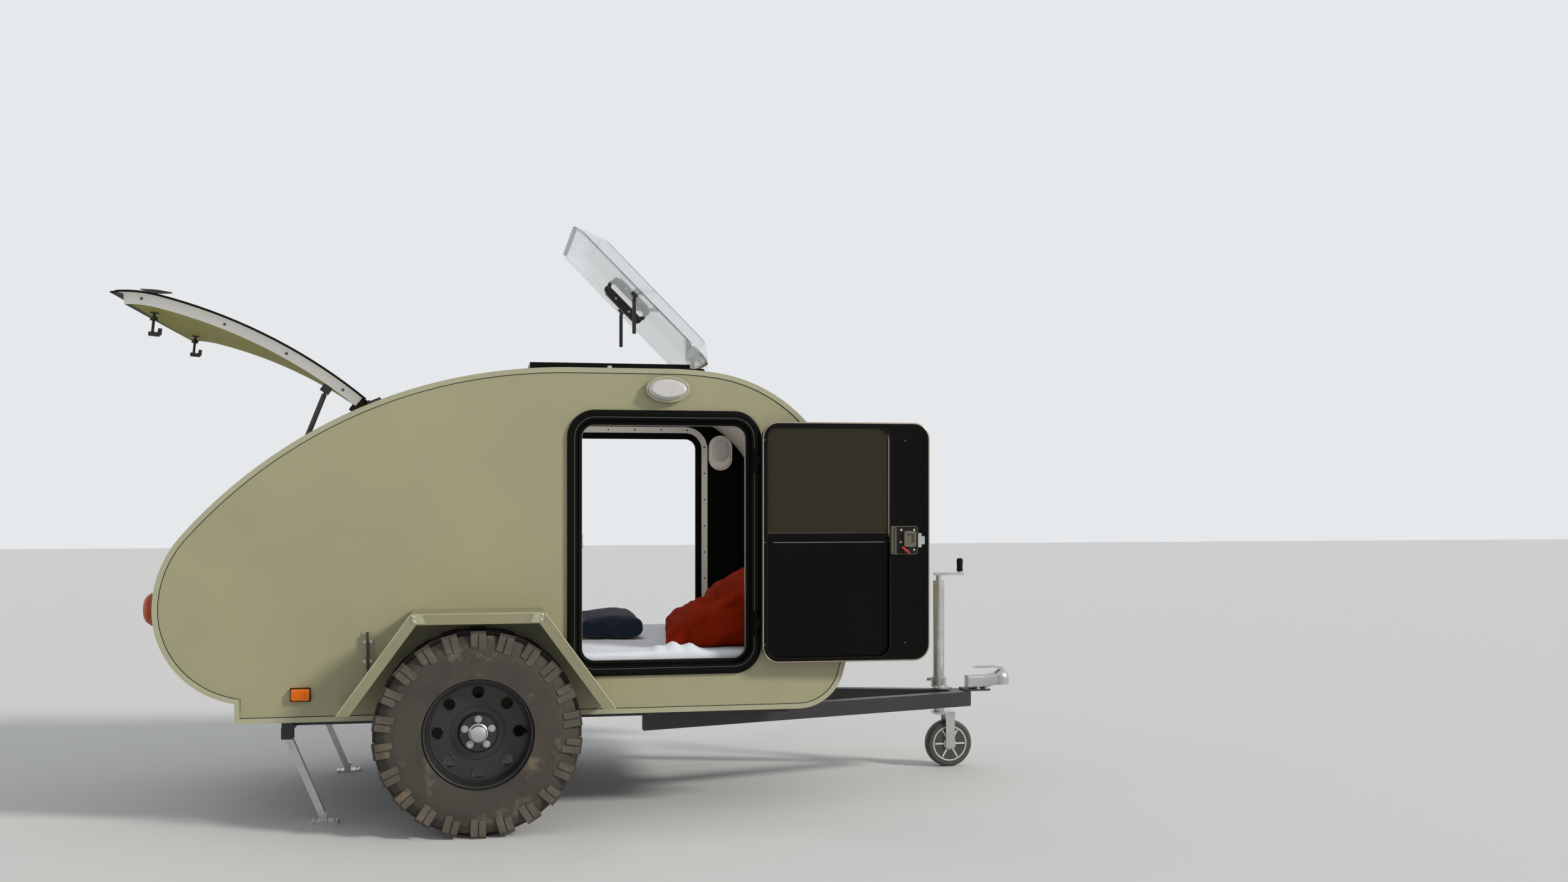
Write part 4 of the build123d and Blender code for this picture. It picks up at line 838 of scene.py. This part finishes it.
def edge_path(points, side_y):
    """Those points that lie at one Y, one for each place, rear to front."""
    spots = {(round(p.x, 3), round(p.z, 3)): p for p in points if abs(p.y - side_y) < 0.0015}
    return sorted(spots.values(), key=lambda p: p.x)


def hatch_finish():
    """Underside in body paint with a painted yellow-green reflection of light bounced off grass, grey edge
    band and overhang, dark edges and tip; returns the panel's points.
    """
    points = [HATCH_BACK @ vertex.co for vertex in cad["hatch_panel"].data.vertices]
    tip_z = min(p.z for p in points) + 0.026

    def inward(p, n):
        return n.dot(HATCH_HEART - p)

    for look, wanted in (
            # underside faces get the painted reflection of grass light over the body's paint
            ("hatch_underside_grass_tint", lambda p, n: inward(p, n) > 0.2 * (HATCH_HEART - p).length),
            ("rib", lambda p, n: abs(n.y) > 0.7 and abs(p.y) < HATCH_CORE_HALF + 0.002),
            ("rib", lambda p, n: abs(p.y) > HATCH_CORE_HALF + 0.001 and abs(n.y) < 0.5 and inward(p, n) > 0),
            ("rubber", lambda p, n: abs(n.y) > 0.7 and abs(p.y) > HATCH_SKIN_HALF - 0.002),
            ("rubber", lambda p, n: p.x > -0.93 and n.x > 0.6 and n.z < 0.75),
            ("rubber", lambda p, n: p.z < tip_z and inward(p, n) > -0.02)):
        paint("hatch_panel", look, wanted, HATCH_BACK)
    return points


def hatch_fittings(points):
    """Dark strip along the edge of the skin, the seal together with painted shade of the overhang's
    underside, and four screws in each edge band.
    """
    outside = corners("hatch_panel", lambda p, n: abs(n.y) < 0.5 and n.dot(p - HATCH_HEART) > 0, HATCH_BACK)
    edge = edge_path(outside, -HATCH_SKIN_HALF)
    raised = [q + (q - HATCH_HEART).normalized() * 0.0016 + Vector((0, 0.0025, 0)) for q in edge]
    # dark bead under the skin's edge: the seal, made wider as painted shade of the overhang's underside
    strip = Shape(OPEN_HATCH).bead(raised, 0.0030, 8).both_sides()
    tip = raised[0]
    across = [Vector((tip.x + 0.0025, y, tip.z)) for y in (-0.670, -0.3, 0.3, 0.670)]
    strip.bead(across, 0.0036, 8, side_axis=(0, 0, 1))
    strip.piece("hatch_edge_seal_and_shade", "rubber", "hatch", "black_frame")
    rim = edge_path(points, -HATCH_CORE_HALF)
    screws = Shape(OPEN_HATCH)
    for share in (0.06, 0.335, 0.613, 0.93):
        x = rim[0].x + (rim[-1].x - rim[0].x) * share
        middle = mean(sorted(rim, key=lambda p: abs(p.x - x))[:8])
        screws.screw(on_right(middle.x, middle.z, HATCH_CORE_HALF), 0.0052, 0.002)
    screws.both_sides().piece("hatch_screws", "latch_light", "hatch", "latch")


def lid_fittings():
    """Rim of the clear lid, the ribbed grip over its bar, the stay arms' sleeves and the bar's screws."""
    hinge = Vector(JOINTS["skylight_hinge"]["pos_m"])
    base = hinge.z + 0.018 + 0.005
    rear, front = hinge.x - 0.735, hinge.x - 0.006
    grip_x = hinge.x - 0.404
    plane = facing(((rear + front) / 2, 0.0, base), (0, 0, 1), (1, 0, 0))
    rim = Shape(OPEN_LID).edging(plane, rounded(0.756, front - rear, 0.060, 8), -0.003, 0.007, 0.0022)
    rim.piece("lid_rim", "acrylic", "skylight", "clear_acrylic")
    # half width, top and foot of the grip under the lid, at places behind the hinge
    end, shoulder, body = (0.008, 0.020, 0.026), (0.0145, 0.012, 0.036), (0.0155, 0.010, 0.045)
    middle = (0.0155, 0.010, 0.0455)
    sections = []
    for x, (half_y, top, foot) in ((0.503, end), (0.498, shoulder), (0.470, body), (0.404, middle),
                                   (0.337, body), (0.309, shoulder), (0.304, end)):
        section = rounded(2 * half_y, foot - top, min(half_y, (foot - top) / 2) * 0.45, 3)
        sections.append([(hinge.x - x, y, base - (top + foot) / 2 + z) for y, z in section])
    grip = Shape(OPEN_LID).skin(sections)
    for side in (-1, 1):
        for drop in (0.020, 0.026, 0.032, 0.038):
            at = facing((grip_x, side * 0.0154, base - drop), (0, side, 0))
            grip.pad(at, rounded(0.118, 0.0022, 0.001, 2), 0.0012, 0.0004)
    grip.piece("lid_grip", "grip", "skylight", "strut_black")
    arms = Shape()
    for side in (-1, 1):
        arm = [v.co for v in cad["skylight_stays"].data.vertices if v.co.y * side > 0.2]
        foot_z = min(p.z for p in arm)
        foot = mean([p for p in arm if p.z < foot_z + 0.001])
        for shift in (-0.0032, 0.0032):
            arms.bead([foot + Vector((shift, 0, z)) for z in (0.001, 0.135)], 0.0042, 8)
    arms.piece("stay_sleeves", "steel_black", "skylight", "strut_black")
    screws = Shape(OPEN_LID)
    for x in (hinge.x - 0.440, hinge.x - 0.366):
        for side in (-1, 1):
            screws.screw(facing((x, side * 0.0162, base - 0.029), (0, side, 0)), 0.0046, 0.0020)
    screws.piece("lid_bar_screws", "zinc", "skylight", "zinc")


def skylight_fittings():
    """The catches at the sides of the skylight's frame and the seal round its opening."""
    low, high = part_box("skylight_frame")
    at = on_right(low.x + 0.30, high.z - 0.018, high.y)
    catch = Shape().pad(at, rounded(0.017, 0.018, 0.004, 3), 0.007)
    catch.screw(moved(at, 0, 0, 0.007), 0.005)
    catch.twins("lid_catches", "zinc", "zinc")
    opening = facing(((low.x + high.x) / 2, 0.0, high.z), (0, 0, 1), (1, 0, 0))
    seal = Shape().edging(opening, rounded(0.596, 0.546, 0.012, 4), 0.0, 0.008, 0.0032)
    seal.piece("skylight_seal", "rubber", "trailer", "black_frame")


# lamps
def lamp_place(node):
    """Middle of a lamp's box along X and Z, and how far out its outermost face lies."""
    low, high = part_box(node)
    return (low.x + high.x) / 2, (low.z + high.z) / 2, -low.y


def porch_lamps():
    """Rim and lens ribs of the porch lamps."""
    oval = ellipse(0.0755, 0.0435, 64)
    rim = Shape().edging(on_right(*lamp_place("porch_lamps")), oval, 0.0, 0.009, 0.0032, 8)
    rim.twins("porch_rims", "trim", "steel_paint")
    low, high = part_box("porch_lenses")
    half_x = (high.x - low.x) / 2 - 0.012
    half_z = (high.z - low.z) / 2 - 0.012
    front = on_right(*lamp_place("porch_lenses"))
    ribs = Shape()
    for i in range(-17, 18):
        length = 2 * half_z * math.sqrt(1 - (i / 18) ** 2)
        ribs.pad(moved(front, half_x * i / 18), rounded(0.0019, length, 0.0008, 2), 0.0012, 0.0006)
    ribs.twins("porch_ribs", "lens_clear", "lens_clear")


def side_markers():
    """Bezel and lens ribs of the side markers."""
    x, z, out = lamp_place("side_markers")
    bezel = Shape()
    bezel.edging(on_right(x, z, HALF_W + 0.008), rounded(0.068, 0.047, 0.005, 4), -0.001, 0.004, 0.0022)
    bezel.twins("marker_bezels", "rubber", "black_frame")
    ribs = Shape()
    for i in range(-3, 4):
        ribs.pad(moved(on_right(x, z, out), i * 0.0066), rounded(0.0022, 0.026, 0.001, 2), 0.0011, 0.0004)
    ribs.twins("marker_ribs", "lens_orange", "lens_orange")


def tail_lamps():
    """Rubber ring, lens rings and screws of the tail lamps."""
    low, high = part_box("tail_lamps")
    face = facing((low.x, 0.098 - HALF_W, (low.z + high.z) / 2), (-1, 0, 0))
    ring = Shape().ring(moved(face, 0, 0, -0.030), 0.0535, 48, 0.006, 0.004)
    ring.twins("tail_rings", "rubber", "black_frame")
    fresnel = Shape()
    for radius in (0.008, 0.014, 0.020):
        fresnel.ring(face, radius, 36, 0.003, 0.0009)
    fresnel.twins("tail_fresnel", "lens_red", "lens_red")
    screws = Shape()
    for a in (math.radians(30), math.radians(210)):
        screws.screw(moved(face, 0.034 * math.cos(a), 0.034 * math.sin(a), -0.0045), 0.0032, 0.003)
    screws.twins("tail_screws", "zinc", "zinc")


def cabin_lamps():
    """Bases with their switch plates and domed lenses of the cabin lamps."""
    x, z = lamp_place("cabin_lamps")[:2]
    place = inside_right(x, z, HALF_W - 0.028 - 0.020)
    base = Shape().edging(place, rounded(0.102, 0.152, 0.0505, 8), 0.0, 0.005, 0.002)
    base.pad(moved(place, 0, -0.052), rounded(0.052, 0.020, 0.006, 4), 0.0075)
    base.twins("cabin_lamp_bases", "lamp_shade", "lamp_white")
    top = moved(place, 0, 0.012)
    outline = rounded(0.082, 0.108, 0.0405, 8)
    dome = ((1.0, -0.0006), (0.97, 0.0040), (0.88, 0.0085), (0.72, 0.0122), (0.50, 0.0148), (0.26, 0.0162),
            (0.05, 0.0166))
    rings = [[top @ Vector((x * share, y * share, up)) for x, y in outline] for share, up in dome]
    Shape().skin(rings).twins("cabin_lamp_lenses", "lens_clear", "lens_clear")


# wheels, fenders, the trim's painted shadow line and what is underneath
RIM_HALF = 0.084
DISC_OUT = 0.032
HUB_OUT = 0.054
# the sidewall slants from one radius and distance out to the other
WALL_R0, WALL_OUT0 = 0.196, 0.084
WALL_R1, WALL_OUT1 = 0.275, 0.1075
LUGS = 22
LUG_TOP = 0.344
# how many, and how far from the axis
HOLES, HOLE_RING = 8, 0.138
NUTS, NUT_RING = 5, 0.0475


def at_wheel(out):
    """Frame on the right wheel's axis, so far out from the middle of the tyre."""
    return on_right(AXLE_X, TYRE_R, TRACK_Y + out)


def wall_out(radius):
    """How far out the sidewall lies at a radius."""
    return WALL_OUT0 + (WALL_OUT1 - WALL_OUT0) * (radius - WALL_R0) / (WALL_R1 - WALL_R0)


def tyre_sides():
    """Moulded rings and a row of marks on the sidewall, and the tread's side blocks."""
    rings = Shape()
    for radius, width, height in ((0.204, 0.007, 0.0034), (0.214, 0.003, 0.0018), (0.236, 0.002, 0.0013),
                                  (0.258, 0.002, 0.0013), (0.268, 0.004, 0.0022)):
        at = at_wheel(wall_out(radius) - 0.0006)
        rings.ring(at, radius, 88, width, height)
    marks, mark_r = 44, 0.247
    slant = Matrix.Rotation(-math.atan2(WALL_OUT1 - WALL_OUT0, WALL_R1 - WALL_R0), 4, "Y")
    for i in range(marks):
        at = moved(at_wheel(wall_out(mark_r) - 0.0008), mark_r, turn=math.tau * i / marks) @ slant
        rings.pad(at, rounded(0.014, 0.0034, 0.001, 2), 0.0016, 0.0005)
    rings.pair("tyre_rings", "tyre", "wheel", "tyre")
    blocks = Shape()
    for i in range(LUGS):
        a = math.pi / 2 + math.tau * i / LUGS
        for across, foot, wide in ((-0.0140, 0.285, 0.0245), (0.0135, 0.297 - 0.006 * (i % 2), 0.0235)):
            tall = LUG_TOP - foot
            at = moved(at_wheel(0.0985), foot + tall / 2, across, turn=a)
            blocks.pad(at, rounded(tall, wide, 0.0035, 2), 0.0100, 0.0020)
    blocks.pair("tyre_blocks", "lug", "wheel", "tyre")


def wheel_metal():
    """Beads of the rim and its holes, hub cap, wheel nuts and valve."""
    lip = Shape().ring(at_wheel(RIM_HALF), 0.184, 88, 0.009, 0.0035, 6)
    lip.ring(at_wheel(DISC_OUT), 0.163, 72, 0.006, 0.002)
    lip.ring(at_wheel(DISC_OUT), 0.090, 60, 0.008, 0.003)
    for i in range(HOLES):
        at = moved(at_wheel(DISC_OUT), HOLE_RING, turn=math.tau * i / HOLES)
        lip.ring(at, 0.0222, 24, 0.004, 0.0016)
    lip.pair("rim_beads", "steel_black", "wheel", "rim")
    hub = Shape().lathe(at_wheel(HUB_OUT), [(-0.001, 0.033), (0.004, 0.033), (0.006, 0.029), (0.024, 0.0285),
                                            (0.030, 0.026), (0.033, 0.019), (0.034, 0.004)], 40)
    hub.pair("hub_caps", "zinc", "wheel", "zinc")
    nuts = Shape()
    for i in range(NUTS):
        nuts.nut(moved(at_wheel(HUB_OUT), NUT_RING, turn=math.tau * (i + 0.25) / NUTS), 0.0085, 0.012)
    nuts.pair("wheel_nuts", "zinc", "wheel", "zinc")
    at = moved(at_wheel(DISC_OUT), 0.155) @ Matrix.Rotation(math.radians(18), 4, "Y")
    valve = Shape().lathe(at, [(-0.001, 0.0085), (0.006, 0.0075), (0.010, 0.0045), (0.032, 0.0042),
                               (0.033, 0.0038)])
    valve.pair("tyre_valves", "rubber", "wheel", "tyre")


def fender_fittings():
    """Rolled edge of the outer lip in the lighter trim colour as a painted highlight, corner plates in that
    colour as painted sunlight, with their bolts, and the wall bracket's bolts.
    """
    low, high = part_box("fender_right")
    half_top = 0.223
    out = -low.y
    corner_places = [(low.x + 0.001, low.z), (AXLE_X - half_top, high.z), (AXLE_X + half_top, high.z),
                     (2 * AXLE_X - low.x - 0.001, low.z)]
    lip = [Vector((x, 0.0015 - out, z - 0.0015)) for x, z in corner_places]
    path = [a.lerp(b, share) for a, b in zip(lip, lip[1:]) for share in (0.012, 0.5, 0.988)]
    # the lighter trim colour paints the highlight along the rolled edge
    Shape().bead(path, 0.0026, 8).twins("fender_edges_painted_highlight", "trim", "steel_paint")
    gusset = Shape()
    bolts = Shape()
    plate_t = 0.0016
    for sign in (-1, 1):
        plate = ((0.001, -0.001), (0.036, -0.001), (0.050, -0.033), (0.006, -0.033))
        corner = on_right(AXLE_X + sign * half_top, high.z, out)
        gusset.pad(corner, [(-sign * x, z) for x, z in plate], plate_t, 0.0006)
        for inner, drop in ((0.009, 0.008), (0.013, 0.025)):
            at = on_right(AXLE_X + sign * (half_top - inner), high.z - drop, out + plate_t)
            bolts.screw(at, 0.0045, 0.0026)
    # the lighter trim colour paints the sunlight that the corner plates catch
    gusset.twins("fender_gussets_painted_sunlit", "trim", "steel_paint")
    bolts.twins("fender_bolts", "zinc", "zinc")
    bracket_x = AXLE_X - 0.377
    plate_out = HALF_W + 0.0042
    foot_z = low.z + 0.10
    for node in ("fender_right", "fender_left"):
        paint(node, "body", lambda p, n: abs(p.x - bracket_x) < 0.0202
              and abs(p.y) < plate_out and p.z > foot_z)
        paint(node, "steel_black", lambda p, n: abs(p.x - bracket_x) < 0.0032
              and plate_out < abs(p.y) < HALF_W + 0.027 and p.z > foot_z)
    bracket = Shape()
    for dx in (-0.0095, 0.0095):
        for dz in (-0.0345, 0.0345):
            bracket.nut(on_right(bracket_x + dx, 0.6205 + dz, HALF_W + 0.004), 0.0042, 0.005)
    bracket.twins("bracket_bolts", "zinc", "zinc")


def trim_shadow_line():
    """Dark line on the wall along the edge trim's inner edge: a painted shadow of the trim over the dark
    joint between them.
    """
    inner = side_loops("edge_trim_right", -(HALF_W + 0.003))[1]
    # dark bead: painted shadow cast by the trim's edge
    line = Shape().bead([p + Vector((0, 0.0026, 0)) for p in inner], 0.0023, loop=True)
    line.twins("trim_edge_shadow", "rubber", "black_frame")


def underneath():
    """Grip and hub of the jockey wheel, and the bolts of the coupling and the steadies."""
    low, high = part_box("jockey_post")
    at = Matrix.Translation((high.x - 0.015, (low.y + high.y) / 2, high.z - 0.052))
    grip = Shape().lathe(at, [(0.0, 0.011), (0.003, 0.0135), (0.020, 0.0125), (0.046, 0.0138), (0.054, 0.012),
                              (0.057, 0.006)], 20)
    grip.piece("jockey_grip", "rubber", "jockey", "black_frame")
    low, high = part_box("jockey_wheel")
    centre = (low + high) / 2
    radius = (high.z - low.z) / 2
    hub = Shape()
    for sign in (-1, 1):
        face = facing((centre.x, centre.y + sign * (high.y - low.y) / 2, centre.z), (0, sign, 0))
        hub.ring(face, radius * 0.72, 48, 0.006, 0.002)
        hub.ring(face, radius * 0.22, 32, 0.010, 0.003)
        for i in range(6):
            at = moved(face, radius * 0.46, turn=math.tau * i / 6)
            hub.pad(at, rounded(radius * 0.40, 0.007, 0.002, 2), 0.0022, 0.0008)
    hub.piece("jockey_hub", "white_plastic", "jockey_wheel", "lamp_white")
    low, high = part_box("drawbar")
    bolts = Shape()
    for x in (high.x - 0.016, high.x - 0.052):
        for y in (-0.038, 0.038):
            bolts.nut(Matrix.Translation((x, y, high.z)), 0.0065, 0.008)
    bolts.piece("coupling_bolts", "zinc", "trailer", "zinc")
    low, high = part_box("steady_right")
    foot = Vector((high.x - 0.045, (low.y + high.y) / 2, 0.008))
    feet = Shape()
    for dx in (-0.034, 0.034):
        for dy in (-0.024, 0.024):
            feet.screw(Matrix.Translation(foot + Vector((dx, dy, 0))), 0.005)
    feet.pair("steady_bolts", "zinc", "steady", "zinc")


LINING_T = 0.034
LINING_HALF = 0.6410
CABIN_HEART = Vector((0.2, 0.0, 0.95))


def inside_cabin(p, n):
    """Whether a face looks into the cabin."""
    towards = CABIN_HEART - p
    return abs(n.y) < 0.5 and n.dot(towards) > 0.3 * towards.length


def inner_finish():
    """Pale inside of the roof and nose, and the thicker lining under the nose."""
    inner = {}
    for node in ("roof_panel", "nose_panel"):
        paint(node, "liner", inside_cabin)
        for p in corners(node, inside_cabin):
            if p.x > 0.40 and p.z > 1.05:
                inner[(round(p.x, 3), round(p.z, 3))] = Vector((p.x, 0, p.z))
    path = sorted(inner.values(), key=lambda p: math.atan2(p.z - 1.0, p.x), reverse=True)
    last = len(path) - 1
    rings = []
    for i, p in enumerate(path):
        along = (path[min(i + 1, last)] - path[max(i - 1, 0)]).normalized()
        inward = Vector((-along.z, 0, along.x))
        if inward.dot(CABIN_HEART - p) < 0:
            inward = -inward
        share = i / last
        q = p + inward * (LINING_T * min(1.0, 0.15 + 6.0 * share, 0.25 + 5.0 * (1 - share)))
        rings.append([(s.x, y, s.z) for s, y in ((p, -LINING_HALF), (q, -LINING_HALF), (q, LINING_HALF),
                                                 (p, LINING_HALF))])
    Shape().skin(rings).piece("nose_lining", "liner", "trailer", "ring_grey")


# floor, light and camera
VIEW_DISTANCE = 5.5
CAMERA_X = AXLE_X - 0.012
CAMERA_H = 1.1625
CAMERA_YAW = 11.47
PHOTO_W, PHOTO_H = 2500, 1406
HORIZON_Y = 791
FLOOR_SIZE = 60.0
SUN_FROM = Vector((0.72, -0.52, 0.50))
SUN_POWER = 2.3
SUN_SPREAD = 9
ROOF_POWER = 4.0
SKY_POWER = 0.62
BACKDROP_POWER = 0.92


def floor():
    """Pale ground."""
    mesh = bpy.data.meshes.new("floor")
    h = FLOOR_SIZE / 2
    mesh.from_pydata([(-h, -h, 0), (h, -h, 0), (h, h, 0), (-h, h, 0)], [], [(0, 1, 2, 3)])
    ground = add_object("floor", mesh)
    new_material("pale_floor", {"Base Color": (0.62, 0.62, 0.61, 1.0), "Roughness": 0.85})
    mesh.materials.append(MAT["pale_floor"])


def studio():
    """Soft light from all round, and a paler backdrop for the camera, mirrors and clear things."""
    world = bpy.data.worlds.new("studio")
    bpy.context.scene.world = world
    world.use_nodes = True
    tree = world.node_tree
    tree.nodes.clear()
    soft = add_node(tree, "Background", Color=(0.93, 0.96, 1.0, 1.0), Strength=SKY_POWER)
    seen = add_node(tree, "Background", Color=(0.86, 0.88, 0.90, 1.0), Strength=BACKDROP_POWER)
    rays = add_node(tree, "LightPath").node.outputs
    seen_by = rays["Is Camera Ray"]
    for ray in ("Is Glossy Ray", "Is Transmission Ray"):
        either = tree.nodes.new("ShaderNodeMath")
        either.operation = "MAXIMUM"
        feed(tree, either, {0: seen_by, 1: rays[ray]})
        seen_by = either.outputs["Value"]
    mix = tree.nodes.new("ShaderNodeMixShader")
    feed(tree, mix, {0: seen_by, 1: soft, 2: seen})
    feed(tree, tree.nodes.new("ShaderNodeOutputWorld"), {"Surface": mix.outputs["Shader"]})


def lights():
    """The key light, and the daylight that falls in at the skylight."""
    sun = bpy.data.lights.new("key", "SUN")
    sun.energy = SUN_POWER
    sun.angle = math.radians(SUN_SPREAD)
    sun.color = (1.0, 0.965, 0.90)
    add_object("key", sun).rotation_euler = SUN_FROM.to_track_quat("Z", "Y").to_euler()
    roof_light = bpy.data.lights.new("roof_light", "AREA")
    roof_light.shape = "RECTANGLE"
    roof_light.size, roof_light.size_y = 0.58, 0.54
    roof_light.energy = ROOF_POWER
    low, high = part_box("skylight_frame")
    inside = add_object("roof_light", roof_light)
    inside.location = ((low.x + high.x) / 2, 0.0, low.z - 0.02)
    inside.visible_camera = inside.visible_glossy = inside.visible_transmission = False


def camera():
    """The photograph's point of view."""
    lens = bpy.data.cameras.new("photo_view")
    lens.lens = 35.0
    lens.sensor_width = 36.0
    lens.shift_y = (HORIZON_Y - PHOTO_H / 2) / PHOTO_W
    eye = add_object("photo_view", lens)
    eye.location = (CAMERA_X, -(HALF_W + VIEW_DISTANCE), CAMERA_H)
    eye.rotation_euler = (math.radians(90), 0, math.radians(-CAMERA_YAW))
    bpy.context.scene.camera = eye


mattress()
quilt()
blanket()
door_frames()
clamp_rings()
door_leaves()
latches()
painted_doors()
hatch_fittings(hatch_finish())
lid_fittings()
skylight_fittings()
porch_lamps()
side_markers()
tail_lamps()
cabin_lamps()
tyre_sides()
wheel_metal()
fender_fittings()
trim_shadow_line()
underneath()
inner_finish()
floor()
studio()
lights()
camera()
bpy.context.scene.view_settings.view_transform = "Standard"
